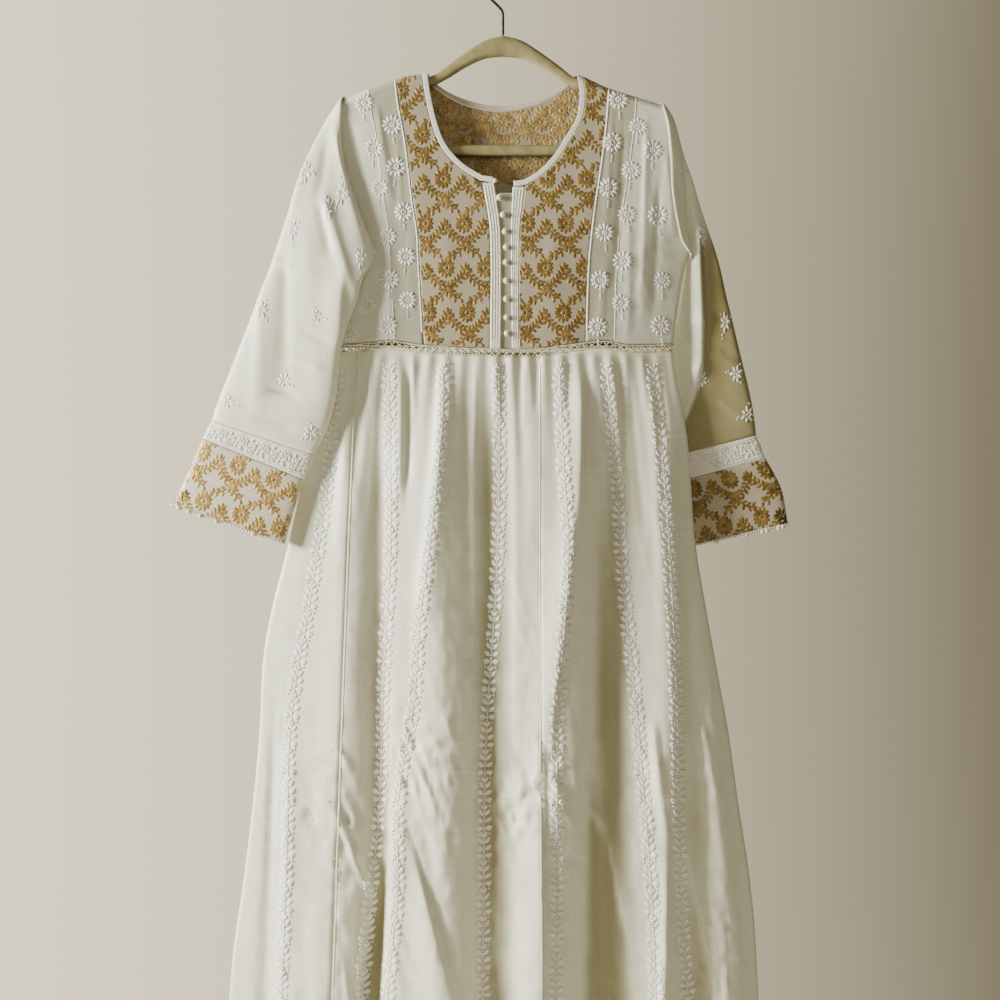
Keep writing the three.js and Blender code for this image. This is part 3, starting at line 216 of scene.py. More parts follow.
BACK_CREASES = table(CREASE_COLUMNS, [
    (-190, -475, -200, -800, 8, 5, 2.4), (-150, -470, -158, -760, 5, 5, -2.4),
    (-124, -470, -130, -960, 4, 12, 3.6), (-84, -470, -90, -700, 6, 4, 1.8),
    (-60, -470, -70, -900, 4, 8, 2.6), (-30, -475, -34, -700, 5, 5, -2.2), (6, -470, 8, -940, 9, 3, 3.0),
    (34, -470, 36, -640, 3, 3, 1.4), (50, -470, 56, -1000, 8, 4, 3.2), (82, -470, 90, -760, 4, 5, -2.2),
    (120, -470, 136, -960, 10, 4, 3.4), (150, -470, 166, -720, 4, 5, -2),
    (180, -470, 200, -860, 6, 5, 2.4), (-240, -900, -258, -1500, 6, 22, 4.5),
    (-150, -1000, -172, -1500, 4, 26, 6), (-60, -960, -20, -1500, 24, 4, 6.5),
    (-34, -1000, -44, -1500, 9, 9, -6), (60, -960, 66, -1500, 4, 24, 6.5),
    (110, -1000, 150, -1500, 20, 4, 5), (96, -980, 96, -1500, 9, 8, -6),
    (214, -960, 250, -1500, 5, 20, 5), (-290, -970, -200, -974, 1.8, 2.2, -0.9),
    (-150, -968, -60, -964, 1.8, 2.2, 0.9), (-40, -972, 50, -966, 1.8, 2, -0.9),
    (80, -964, 180, -970, 1.8, 2, 0.9), (-80, -990, -30, -1050, 4, 5, 2.4),
    (90, -990, 130, -1060, 4, 5, 2.4), (-210, -1010, -176, -1080, 4, 4, 3),
    (-170, -200, -150, -440, 6, 5, 1.6), (168, -200, 150, -440, 5, 6, 1.6),
    (-120, -260, -112, -440, 3, 3, 1.0), (122, -240, 112, -440, 3, 3, 1.0),
    (-186, -240, -178, -420, 5, 5, -1.6), (188, -240, 180, -420, 5, 5, -1.6),
    (-40, -260, -44, -450, 14, 12, 0.9), (36, -250, 40, -450, 12, 14, 0.9)])
# crumpled patches: middle, half width, half height, size of the dimples and their depth
CRUMPLE_COLUMNS = "x z wide high size depth"
FRONT_CRUMPLES = table(CRUMPLE_COLUMNS, [
    (-98, -960, 36, 74, 14, 5.4), (-195, -1040, 40, 80, 16, 5.4), (256, -1180, 36, 90, 10, 3.4),
    (20, -1000, 46, 60, 14, 4.6), (-230, -1240, 60, 90, 16, 3.0), (160, -720, 60, 120, 18, 1.6),
    (-160, -400, 50, 70, 12, 0.8), (170, -360, 50, 90, 12, 0.8), (-40, -860, 60, 120, 22, 1.6),
    (250, -900, 40, 60, 13, 3.6), (20, -1060, 330, 260, 17, 2.2), (-20, -760, 260, 140, 21, 1.1),
    (50, -985, 36, 44, 12, 5.0), (-290, -1000, 40, 160, 13, 2.0)])
BACK_CRUMPLES = table(CRUMPLE_COLUMNS, [
    (-120, -1010, 60, 80, 12, 2.6), (80, -1040, 60, 80, 12, 2.6), (210, -1100, 50, 100, 12, 2.2),
    (0, -700, 90, 140, 18, 1.2), (0, -330, 120, 90, 16, 0.6), (0, -1060, 330, 260, 15, 1.6),
    (0, -760, 260, 140, 21, 1.1)])

# creases of the sleeves' front layers
LEFT_SLEEVE_CREASES = table(CREASE_COLUMNS, [
    (-206, -178, -164, -342, 9, 6, 3.2), (-213, -205, -222, -290, 5, 6, -1.8),
    (-222, -280, -206, -356, 5, 6, -2.2), (-219, -262, -176, -402, 9, 5, 3.4),
    (-236, -300, -222, -560, 16, 12, 1.4), (-192, -360, -204, -560, 24, 8, 5.0),
    (-262, -330, -268, -540, 12, 10, -2.6), (-290, -380, -296, -560, 8, 10, 1.8),
    (-286, -508, -240, -522, 3, 4, -1.8), (-304, -540, -244, -560, 3, 4, -1.6),
    (-246, -436, -200, -456, 4, 5, -1.6), (-258, -470, -212, -486, 3, 5, 1.4),
    (-240, -220, -256, -300, 6, 8, 1.6), (-278, -350, -250, -366, 3, 4, 1.3)])
RIGHT_SLEEVE_CREASES = table(CREASE_COLUMNS, [
    (237, -300, 242, -440, 18, 2, 5.0), (242, -405, 241, -500, 16, 2, 5.0),
    (242, -470, 220, -560, 14, 2, 4.6), (256, -320, 262, -560, 10, 16, -1.2),
    (222, -200, 234, -330, 6, 5, 2.0), (232, -200, 262, -330, 5, 7, -1.6),
    (262, -460, 296, -480, 3, 4, -1.4), (258, -520, 300, -548, 3, 4, 1.4),
    (206, -470, 212, -560, 4, 5, -2.2), (250, -250, 268, -380, 6, 5, 1.4)])
NO_CREASES = table(CREASE_COLUMNS, [(0, 0, 0, -1, 1, 1, 0)])

# stitching and weaving: where the vine columns run, and the middles of the flowers
VINES = [table("z x", rows) for rows in (
    [(-471.6, -197), (-632, -212), (-725, -226), (-785, -235), (-852, -248), (-944, -257), (-1037, -258),
     (-1189, -263), (-1345, -268)],
    [(-471.6, -137), (-678, -134), (-748, -137), (-883, -144), (-1000, -147), (-1120, -159), (-1345, -178)],
    [(-471.6, -72), (-540, -72), (-678, -85), (-793, -100), (-883, -106), (-990, -124), (-1112, -125),
     (-1189, -134), (-1345, -144)],
    [(-471.6, -5), (-610, -4), (-725, -7), (-793, -11), (-883, -18), (-976, -22), (-1189, -24),
     (-1345, -26)],
    [(-471.6, 67), (-610, 73), (-695, 78), (-793, 73), (-868, 67), (-929, 64), (-1128, 64), (-1345, 60)],
    [(-471.6, 124), (-610, 136), (-748, 145), (-852, 156), (-990, 168), (-1128, 178), (-1345, 184)],
    [(-471.6, 179), (-610, 193), (-748, 202), (-899, 208), (-1021, 210), (-1174, 217), (-1345, 232)])]
FRONT_DAISIES = [
    (-133, -190), (-128, -241), (-119, -295), (-116, -349), (-114, -401), (-167, -163), (-155, -218),
    (-148, -266), (-138, -325), (-136, -376), (-138, -431), (-163, -407), (-184, -440), (139, -159),
    (132, -211), (127, -266), (122, -320), (117, -377), (114, -433), (162, -192), (154, -245),
    (149, -298), (144, -354), (142, -404), (180, -220), (186, -299), (192, -377), (190, -431)]
BACK_DAISIES = [(side * x, z) for side in (-1, 1) for x, z in (
    (139, -172), (133, -222), (127, -273), (121, -326), (117, -378), (114, -431), (163, -194),
    (157, -247), (152, -300), (147, -352), (144, -405), (186, -222), (190, -300), (190, -377))]
LEFT_SPRIGS = [(-193, -274), (-209, -292), (-253, -317), (-170, -352), (-290, -415), (-260, -498),
               (-329, -523), (-230, -560), (-222, -420), (-236, -246)]
RIGHT_SPRIGS = [(217, -262), (242, -323), (269, -427), (224, -451), (241, -497), (296, -535), (206, -540),
                (282, -486)]
PEARLS = [(-9.5, -258), (-4.4, -278), (0, -299), (2.4, -319), (3.6, -338), (3.6, -356), (3.8, -378),
          (3.8, -400), (4.3, -422), (4.8, -441)]
JAAL_WIDE, JAAL_HIGH = 46.6, 53.6  # the brocade's repeat; every other row is moved half of it sideways


# ---------------------------------------------------------------- curves
def clamp(value, low=0.0, high=1.0):
    """A value kept between two others."""
    return np.minimum(np.maximum(value, low), high)


def mix(a, b, t):
    """A straight blend, a where t is 0 and b where it is 1."""
    return a + (b - a) * t


def smoothstep(value, low, high):
    """Rises smoothly from 0 at low to 1 at high."""
    t = clamp((value - low) / (high - low))
    return t * t * (3 - 2 * t)


def joined(*columns):
    """Columns of numbers side by side: joined(x, z) is a run of places."""
    return np.stack(np.broadcast_arrays(*columns), axis=-1)


def spokes(angles):
    """Places on the unit circle at angles in degrees."""
    angles = np.radians(angles)
    return joined(np.cos(angles), np.sin(angles))


def circle(count):
    """Places spaced evenly round the unit circle."""
    return spokes(360 * np.arange(count) / count)


def unit(vectors):
    """Vectors made 1 long."""
    return vectors / np.maximum(np.linalg.norm(vectors, axis=-1, keepdims=True), 1e-9)


def steps_of(points, axis=0):
    """Distances from each point to the next along an axis."""
    return np.linalg.norm(np.diff(points, axis=axis), axis=-1)


def so_far(steps):
    """The way from the start to each point, from the steps between them."""
    return np.r_[0, np.cumsum(steps)]


def rejoined(grid):
    """A closed grid with its first column once more at its end."""
    return np.concatenate([grid, grid[:, :1]], axis=1)


def hermite(t):
    """The four weights of a cubic Hermite curve: of its start, its end and the slopes at both."""
    return 2 * t ** 3 - 3 * t ** 2 + 1, 3 * t ** 2 - 2 * t ** 3, t ** 3 - 2 * t ** 2 + t, t ** 3 - t ** 2


def smooth_run(keys, values):
    """A cubic Hermite curve through values at keys; its slope at each is that between the neighbours."""
    rows = np.arange(len(keys))
    before, after = np.maximum(rows - 1, 0), np.minimum(rows + 1, len(keys) - 1)
    extra = (1,) * (values.ndim - 1)
    slopes = (values[after] - values[before]) / np.reshape(keys[after] - keys[before], (-1,) + extra)

    def read(at):
        """The curve's values at keys between."""
        at = clamp(at, keys[0], keys[-1])
        i = np.clip(np.searchsorted(keys, at) - 1, 0, len(keys) - 2)
        span = np.reshape(keys[i + 1] - keys[i], np.shape(at) + extra)
        start, end, start_slope, end_slope = hermite(np.reshape(at - keys[i], np.shape(at) + extra) / span)
        lean = start_slope * slopes[i] + end_slope * slopes[i + 1]
        return start * values[i] + end * values[i + 1] + lean * span

    return read


def curve(columns, key, value):
    """A smooth curve through one column of a table, read at values of another."""
    order = np.argsort(columns[key])
    return smooth_run(columns[key][order], columns[value][order])


def path(points):
    """A centripetal Catmull-Rom curve through points, read at fractions of its length."""
    points = np.asarray(points, float)
    padded = np.vstack([2 * points[0] - points[1], points, 2 * points[-1] - points[-2]])
    steps = steps_of(padded)[:, None] ** 0.5
    a, b, c = steps[:-2], steps[1:-1], steps[2:]
    p0, p1, p2, p3 = padded[:-3], padded[1:-2], padded[2:-1], padded[3:]
    leave = ((p1 - p0) / a - (p2 - p0) / (a + b) + (p2 - p1) / b) * b
    arrive = ((p2 - p1) / b - (p3 - p1) / (b + c) + (p3 - p2) / c) * b
    start, end, start_slope, end_slope = hermite(np.linspace(0, 1, PATH_STEPS + 1)[:-1, None, None])
    fine = start * p1 + start_slope * leave + end * p2 + end_slope * arrive
    fine = np.vstack([fine.transpose(1, 0, 2).reshape(-1, points.shape[1]), points[-1]])
    lengths = so_far(steps_of(fine))

    def read(fraction):
        at = np.asarray(fraction) * lengths[-1]
        return np.stack([np.interp(at, lengths, fine[:, axis]) for axis in range(fine.shape[1])], axis=-1)

    return read


def noise(u, v, seed):
    """Smooth value noise: seeded heights at whole numbers, blended between them, from -1 to 1."""
    lattice = np.random.default_rng(seed).uniform(-1, 1, (128, 128))
    i, j = np.floor(u).astype(int), np.floor(v).astype(int)
    a, b = u - i, v - j
    a, b = a * a * (3 - 2 * a), b * b * (3 - 2 * b)
    low = mix(lattice[i % 128, j % 128], lattice[(i + 1) % 128, j % 128], a)
    high = mix(lattice[i % 128, (j + 1) % 128], lattice[(i + 1) % 128, (j + 1) % 128], a)
    return mix(low, high, b)


CREASE_SPREAD = 0.7, 1.3  # how wide a crease is at its two ends, of its width
CREASE_START, CREASE_END = (-0.02, 0.22), (-0.02, 0.28)  # where along itself it rises and fades


def creased(creases, x, z):
    """Sum of creases: each is a bell across its line, its own width on either side, fading at both ends."""
    height = np.zeros(np.shape(x))
    for x0, z0, x1, z1, left_width, right_width, tall in rows_of(creases):
        run_x, run_z = x1 - x0, z1 - z0
        length = math.hypot(run_x, run_z)
        along = ((x - x0) * run_x + (z - z0) * run_z) / length ** 2
        across = ((x - x0) * run_z - (z - z0) * run_x) / length
        width = np.where(across < 0, right_width, left_width) * mix(*CREASE_SPREAD, clamp(along))
        ends = smoothstep(along, *CREASE_START) * smoothstep(1 - along, *CREASE_END)
        height += tall * ends * np.exp(-((across / width) ** 2))
    return height


def crumpled(patches, x, z, seed):
    """Sum of crumpled patches: folded noise, whose ridges are sharp, under a bell over each patch."""
    height = np.zeros(np.shape(x))
    for patch_x, patch_z, wide, high, size, depth in rows_of(patches):
        bell = np.exp(-(((x - patch_x) / wide) ** 2) - ((z - patch_z) / high) ** 2)
        slanted = x / size + z / (2.5 * size), z / (1.6 * size) - x / (3 * size)
        ridges = 0.5 - np.abs(noise(*slanted, seed)) - 0.4 * np.abs(noise(x / size * 2, z / size, seed + 1))
        height += depth * bell * ridges
    return height


# ---------------------------------------------------------------- the body's surface
left_width = curve(WIDTHS, "z", "left")
right_width = curve(WIDTHS, "z", "right")
shoulder_z = curve(SHOULDER, "x", "z")
front_waist_z = curve(WAIST, "x", "z")


def back_waist_z(x):
    """The waist seam behind is level."""
    return np.full(np.shape(x), WAIST_Z)


# the two faces of the body: which way is out, its swell and relief, and its waist seam
FRONT = {"out": -1, "swell": curve(SWELL, "z", "front"), "folds": FRONT_FOLDS, "phase": 0.4,
         "creases": FRONT_CREASES, "crumples": FRONT_CRUMPLES, "waist": front_waist_z, "seed": 3}
BACK = {"out": 1, "swell": curve(SWELL, "z", "back"), "folds": BACK_FOLDS, "phase": 2.1,
        "creases": BACK_CREASES, "crumples": BACK_CRUMPLES, "waist": back_waist_z, "seed": 8}
FACES = {"front": FRONT, "back": BACK}


def half_width(x, z):
    """The flat garment's reach from its middle line, on the side where x lies."""
    return np.where(x < 0, left_width(z), right_width(z))


def quarter_round(distance, radius):
    """A quarter round: 0 at the edge, 1 from one radius inside it."""
    return np.sqrt(1 - (1 - clamp(distance / radius)) ** 2)


def fold_height(folds, x, z):
    """Sum of the large folds, each a bell across whose place, width and height change down the skirt."""
    along = (FOLD_HIGH_Z - z) / (FOLD_HIGH_Z - FOLD_LOW_Z)
    start = smoothstep(WAIST_Z - z, 0, WAIST_Z - FOLD_HIGH_Z)
    down = np.maximum(along, 0)
    height = 0
    for high_x, low_x, high_width, low_width, high_height, low_height in rows_of(folds):
        width, tall = mix(high_width, low_width, down), mix(high_height, low_height, down)
        height = height + tall * np.exp(-(((x - mix(high_x, low_x, along)) / width) ** 2))
    return start * height


GATHER_RISE, GATHER_FADE = 16, 95  # mm below the waist over which the gathers start, and fade


def gather_height(x, z, phase):
    """The small gathers: a cosine across, of uneven height, that starts at the waist and fades below it."""
    below = WAIST_Z - z
    place = (x / half_width(x, z) + 1) / 2 * GATHERS
    uneven = 1.5 + 0.9 * np.sin(place * 0.9 + phase) * np.sin(place * 0.37 + 2 * phase)
    fade = smoothstep(below, 0, GATHER_RISE) * np.exp(-np.maximum(below, 0) / GATHER_FADE)
    return uneven * fade * np.cos(2 * np.pi * place)


CALM_EDGE = 30  # mm in from the side over which the relief dies away


def body_relief(face, x, z):
    """Folds, gathers, creases and crumples together, dying away at the sides."""
    relief = fold_height(face["folds"], x, z) + gather_height(x, z, face["phase"])
    relief = relief + creased(face["creases"], x, z)
    relief = relief + crumpled(face["crumples"], x, z, face["seed"])
    relief = relief + 0.5 * noise(x / 26, z / 90, face["seed"] + 5)
    return relief * clamp((half_width(x, z) - np.abs(x)) / CALM_EDGE)


def body_depth(face, x, z):
    """How far the outside lies from the middle plane: rounded sides and shoulder, swell and relief."""
    edge = half_width(x, z) - np.abs(x)
    across = x / half_width(x, z)
    side = SIDE_RADIUS * quarter_round(edge, SIDE_RADIUS)
    inward = (FOLD_RADIUS - SIDE_RADIUS) * clamp(edge / 60) ** 0.8
    top = quarter_round(shoulder_z(x) - z, FOLD_RADIUS)
    full = face["swell"](z) * (1 - across ** 2) + body_relief(face, x, z)
    return SEAM / 2 + top * (side + inward + np.maximum(full, -inward))


def body_y(face, x, z):
    """The outside's place in depth."""
    return face["out"] * body_depth(face, x, z)


def body_normal(face, x, z, step=0.05):
    """The outward normal, from the slopes; on the fold lines it lies in the middle plane."""
    slope_x = (body_y(face, x + step, z) - body_y(face, x - step, z)) / (2 * step)
    slope_z = (body_y(face, x, z + step) - body_y(face, x, z - step)) / (2 * step)
    on_fold = np.abs(body_y(face, x, z)) <= SEAM
    normal = joined(-slope_x * face["out"], np.where(on_fold, 0, face["out"]), -slope_z * face["out"])
    return unit(normal)


def on_body(face, x, z, lift=0.0):
    """Points on the body's outside at places x, z, moved out by a lift."""
    points = joined(x, body_y(face, x, z), z)
    return points + body_normal(face, x, z) * np.asarray(lift)[..., None]


# ---------------------------------------------------------------- meshes
def make_piece(name, points, faces, material, uv=None, painted_shade=None, replaced=(), slot=None):
    """A named mesh at the origin from points in millimetres, riding on the root body."""
    mesh = bpy.data.meshes.new(name)
    points = np.asarray(points, float).reshape(-1, 3) / 1000
    faces = np.asarray(faces, int)
    mesh.vertices.add(len(points))
    mesh.vertices.foreach_set("co", points.ravel())
    mesh.loops.add(faces.size)
    mesh.loops.foreach_set("vertex_index", faces.ravel())
    mesh.polygons.add(len(faces))
    mesh.polygons.foreach_set("loop_start", np.arange(len(faces)) * faces.shape[1])
    mesh.polygons.foreach_set("use_smooth", np.ones(len(faces), bool))
    if uv is not None:
        layer = mesh.uv_layers.new(name="cut")
        layer.data.foreach_set("uv", (np.asarray(uv, float).reshape(-1, 2)[faces.ravel()] / 1000).ravel())
    # a per-point amount of painted shade, by which the cloth's material darkens its colour
    if painted_shade is not None:
        attribute = mesh.attributes.new("painted_shade", "FLOAT", "POINT")
        attribute.data.foreach_set("value", np.ravel(painted_shade).astype(float))
    mesh.materials.append(material)
    mesh.update(calc_edges=True)
    mesh.validate()
    piece = bpy.data.objects.new(name, mesh)
    bpy.context.scene.collection.objects.link(piece)
    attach(piece, "root")
    if replaced:
        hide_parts(*replaced)
    return piece


def capped_faces(rings, sides):
    """Triangles of rings of points between two tips, which come first among the points."""
    here = np.arange(sides)
    after = (here + 1) % sides
    last = 2 + (rings - 1) * sides
    quads = 2 + grid_faces(rings, sides, True)
    return np.concatenate([joined(0 * here, 2 + here, 2 + after), quads[:, [0, 1, 2]], quads[:, [0, 2, 3]],
                           joined(0 * here + 1, last + after, last + here)])


def facing_out(points, faces):
    """Faces of a closed mesh, turned round where the volume that they enclose comes out negative."""
    a, b, c = (points[faces[:, i]] - points.mean(axis=0) for i in range(3))
    return faces if np.sum(a * np.cross(b, c)) >= 0 else faces[:, ::-1]


def grid_faces(rows, columns, closed=False):
    """Quads of a grid of points, row by row; closed joins each row's end to its start."""
    row = np.arange(rows - 1)[:, None]
    column = np.arange(columns if closed else columns - 1)[None, :]
    after = (column + 1) % columns
    above, below = row * columns, (row + 1) * columns
    return joined(above + column, below + column, below + after, above + after).reshape(-1, 4)


def grid_normals(grid, closed=False):
    """Normals of a grid of points, from the differences along its rows and columns."""
    if closed:
        across = np.roll(grid, -1, axis=1) - np.roll(grid, 1, axis=1)
    else:
        across = np.gradient(grid, axis=1)
    return unit(np.cross(np.gradient(grid, axis=0), across))


def cut_uv(grid, closed=False):
    """Distances along the cloth, across and down, as the flat piece would have them."""
    across = np.concatenate([np.zeros((len(grid), 1)), np.cumsum(steps_of(grid, 1), axis=1)], axis=1)
    middle = across[:, -1:] / 2
    down = so_far(steps_of(grid).mean(axis=1))[:, None]
    return joined(across - middle, -down)


def shell(name, grid, material, thickness, outward, closed=False, painted_shade=0.0, held=None, **words):
    """A closed thin shell: the grid, the same moved in along its normals, and its rims.

    Outward says which way its outside faces. Its cut is what the grid measures along the cloth: the longest
    row, and the longest column.
    """
    rows, columns = grid.shape[:2]
    normals = grid_normals(grid, closed)
    side = 1 if np.mean(np.sum(normals * outward, axis=-1)) > 0 else -1
    normals = normals * side
    folded = np.abs(grid[..., 1]) <= SEAM
    if not closed:
        normals[..., 1] = np.where(folded, 0, normals[..., 1])
        normals = unit(normals)
    count = rows * columns
    faces = grid_faces(rows, columns, closed)
    if side < 0:
        faces = faces[:, ::-1]
    ring = np.arange(columns)
    rims = [ring, (rows - 1) * columns + ring[::-1]]
    if closed:
        rims = [np.r_[rim, rim[0]] for rim in rims]
    else:
        down = np.arange(rows) * columns
        rims += [down[::-1], down + columns - 1]
    strips = [joined(rim[:-1], rim[1:], rim[1:] + count, rim[:-1] + count) for rim in rims]
    strips = np.concatenate(strips)
    if side < 0:
        strips = strips[:, ::-1]
    everything = np.concatenate([faces, faces[:, ::-1] + count, strips])
    points = np.concatenate([grid.reshape(-1, 3), (grid - normals * thickness).reshape(-1, 3)])
    uv = cut_uv(grid, closed).reshape(-1, 2)
    painted_shade = np.broadcast_to(painted_shade, (rows, columns)).ravel()
    # the inside takes more painted shade than the outside
    piece = make_piece(name, points, everything, material, np.concatenate([uv, uv]),
                       np.concatenate([painted_shade, clamp(painted_shade + 0.6)]), **words)
    if held:
        across, down, area = cut_size(grid, closed)
        across = max(across, NARROWEST_CUT)
    return piece


def cut_size(grid, closed):
    """A grid's longest row and column and its area, in metres: the size that the cloth was cut to."""
    ring = rejoined(grid) if closed else grid
    across = steps_of(ring, 1).sum(axis=1).max()
    down = steps_of(ring).sum(axis=0).max()
    one_way, other_way = ring[1:, 1:] - ring[:-1, :-1], ring[1:, :-1] - ring[:-1, 1:]
    cells = np.linalg.norm(np.cross(one_way, other_way), axis=-1) / 2
    return across / 1000, down / 1000, cells.sum() / 1e6


# ---------------------------------------------------------------- raised stitches
# sections of a stitch: places across it and heights; a leaf has a groove down its middle
LEAF = np.array([(-0.5, -0.25), (-0.27, 1), (0, 0.45), (0.27, 1), (0.5, -0.25)])
CORD = np.array([(-0.5, -0.25), (-0.3, 0.85), (0.3, 0.85), (0.5, -0.25)])
TWINE = circle(8) / 2
LEAF_STEPS = np.array([0, 0.16, 0.5, 0.84, 1])


def raised(runs, widths, heights, section=LEAF, full=None):
    """Closed stitches in flat coordinates across, up and out.

    Each row of runs is a line of points. Its first and last are pointed ends, and a section stands across the
    line at every point between, as wide and tall as the stitch is, times the fullness there.
    """
    runs = np.asarray(runs, float)
    count, steps = runs.shape[:2]
    full = np.ones(steps) if full is None else full
    lean = unit(np.gradient(runs, axis=1))
    left = joined(-lean[..., 1], lean[..., 0])[:, 1:-1, None, :]
    wide = (np.broadcast_to(widths, count)[:, None] * full[1:-1])[..., None] * section[:, 0]
    tall = (np.broadcast_to(heights, count)[:, None] * full[1:-1])[..., None] * section[:, 1]
    rings = np.concatenate([runs[:, 1:-1, None, :] + left * wide[..., None], tall[..., None]], axis=-1)
    tips = np.concatenate([runs[:, [0, -1]], np.zeros((count, 2, 1))], axis=-1)
    return np.concatenate([tips, rings.reshape(count, -1, 3)], axis=1), capped_faces(steps - 2, len(section))


def leaves(bases, angles, lengths, widths, height):
    """Leaves or petals from their bases at angles in degrees, as full along their length as a blunt sine."""
    run = spokes(np.broadcast_to(angles, len(bases))) * np.broadcast_to(lengths, len(bases))[:, None]
    runs = np.asarray(bases, float)[:, None, :] + run[:, None, :] * LEAF_STEPS[:, None]
    return raised(runs, widths, height, LEAF, np.sin(np.pi * LEAF_STEPS) ** 0.75)


def knots(places, size, height):
    """Small round knots at places."""
    steps = np.array([0, 0.18, 0.82, 1])
    runs = np.asarray(places, float)[:, None, :] + size * joined(steps - 0.5, 0 * steps)
    return raised(runs, size, height, CORD, np.array([0, 0.95, 0.95, 0]))


def cord(points, width, height, section=CORD, pitch=3.0):
    """One line of stitching along a smooth curve through points."""
    points = np.asarray(points, float)
    run = path(points)(np.linspace(0, 1, max(int(steps_of(points).sum() / pitch), 4)))
    return raised(run[None], width, height, section)


def repeated(motif, places, turns=0.0, sizes=1.0):
    """A motif at many places, each turned by its angle and scaled by its size."""
    stitches, faces = motif
    places = np.asarray(places, float).reshape(-1, 2)
    turns, sizes = np.broadcast_to(turns, len(places)), np.broadcast_to(sizes, len(places))
    across = joined(np.cos(turns), np.sin(turns)) * sizes[:, None]
    up = joined(-np.sin(turns), np.cos(turns)) * sizes[:, None]
    flat = (places[:, None, None, :] + stitches[None, ..., :1] * across[:, None, None, :]
            + stitches[None, ..., 1:2] * up[:, None, None, :])
    out = np.broadcast_to(stitches[None, ..., 2:], flat.shape[:-1] + (1,))
    return np.concatenate([flat, out], axis=-1).reshape(-1, stitches.shape[1], 3), faces


def stitched(name, motifs, place, material, **words):
    """One mesh of many motifs, each point laid where place puts its flat coordinates, facing outward."""
    flat, faces, start = [], [], 0
    for stitches, triangles in motifs:
        count, size = stitches.shape[:2]
        flat.append(stitches.reshape(-1, 3))
        faces.append((triangles + (np.arange(count) * size)[:, None, None]).reshape(-1, 3) + start)
        start += count * size
    flat, faces = np.concatenate(flat), np.concatenate(faces)
    points = place(flat[:, 0], flat[:, 1], flat[:, 2])
    return make_piece(name, points, facing_out(points, faces), material, **words)


def on_face(face, lift=0.25):
    """A place function: on the body's outside, a little proud of it, never past the side."""
    def place(x, z, out):
        inside = np.sign(x) * np.minimum(np.abs(x), half_width(x, z) - 0.6)
        return on_body(face, inside, np.minimum(z, shoulder_z(inside) - 0.5), out + lift)
    return place


def on_tube(grid, lift=0.2):
    """A place function on a closed grid: distance round it from its first column, up from its first row."""
    ring = rejoined(grid)
    normals = grid_normals(grid, closed=True)
    if np.sum(normals * (grid - grid.mean(axis=1, keepdims=True))) < 0:
        normals = -normals
    both = np.concatenate([ring, rejoined(normals)], axis=-1)
    around, fall = so_far(steps_of(ring, 1).mean(axis=0)), so_far(steps_of(grid).mean(axis=1))

    def place(across, up, out):
        column = np.interp(across % around[-1], around, np.arange(len(around)))
        row = np.interp(clamp(-up, 0.4, fall[-1] - 0.4), fall, np.arange(len(fall)))
        i, j = np.minimum(row.astype(int), len(fall) - 2), np.minimum(column.astype(int), len(around) - 2)
        a, b = (row - i)[:, None], (column - j)[:, None]
        point = mix(mix(both[i, j], both[i, j + 1], b), mix(both[i + 1, j], both[i + 1, j + 1], b), a)
        return point[:, :3] + point[:, 3:] * (out + lift)[:, None]

    def find(x, z, front=True):
        """The flat coordinates of the nearest place in the front or the back layer."""
        half = grid.shape[1] // 2
        layer = grid[:, :half] if front else grid[:, half:]
        across = layer[None, ..., 0] - np.reshape(x, (-1, 1, 1))
        rise = layer[None, ..., 2] - np.reshape(z, (-1, 1, 1))
        nearest = (across ** 2 + rise ** 2).reshape(len(across), -1).argmin(axis=1)
        row, column = np.unravel_index(nearest, layer.shape[:2])
        return joined(around[column + (0 if front else half)], -fall[row])

    return place, find, around[-1], fall[-1]


# ---------------------------------------------------------------- materials
def linear(hex_colour):
    """An sRGB hex colour as linear RGBA."""
    channels = [int(hex_colour[i:i + 2], 16) / 255 for i in (1, 3, 5)]
    return [c / 12.92 if c <= 0.04045 else ((c + 0.055) / 1.055) ** 2.4 for c in channels] + [1.0]


def add_node(tree, kind, inputs=(), **settings):
    """Adds a node with its settings; an input is a value or another node's output."""
    node = tree.nodes.new(kind)
    for key, value in settings.items():
        setattr(node, key, value)
    for key, value in dict(inputs).items():
        if isinstance(value, bpy.types.NodeSocket):
            tree.links.new(value, node.inputs[key])
        else:
            node.inputs[key].default_value = value
    return node


def new_material(name):
    """A material with an empty tree but for its Principled shader and output."""
    material = bpy.data.materials.new(name)
    material.use_nodes = True
    tree = material.node_tree
    tree.nodes.clear()
    output = tree.nodes.new("ShaderNodeOutputMaterial")
    shader = tree.nodes.new("ShaderNodeBsdfPrincipled")
    tree.links.new(shader.outputs[0], output.inputs[0])
    return material, tree, shader


def blend(tree, factor, low, high):
    """A colour between two others."""
    return add_node(tree, "ShaderNodeMix", {0: factor, 6: low, 7: high}, data_type="RGBA").outputs[2]


def ranged(tree, value, low, high, to_low=0.0, to_high=1.0):
    """A value's range stretched onto another."""
    inputs = {0: value, 1: low, 2: high, 3: to_low, 4: to_high}
    return add_node(tree, "ShaderNodeMapRange", inputs).outputs[0]


def scaled_noise(tree, vector, scale, detail=2.0):
    """Noise stretched by its own scale along each axis, in repeats to the metre."""
    mapping = add_node(tree, "ShaderNodeMapping", {"Vector": vector, "Scale": scale})
    inputs = {"Vector": mapping.outputs[0], "Scale": 1.0, "Detail": detail}
    return add_node(tree, "ShaderNodeTexNoise", inputs).outputs[0]


def set_finish(shader, **values):
    """Values that are the same all over, set on the shader's own sockets."""
    for key, value in values.items():
        shader.inputs[key.replace("_", " ")].default_value = value


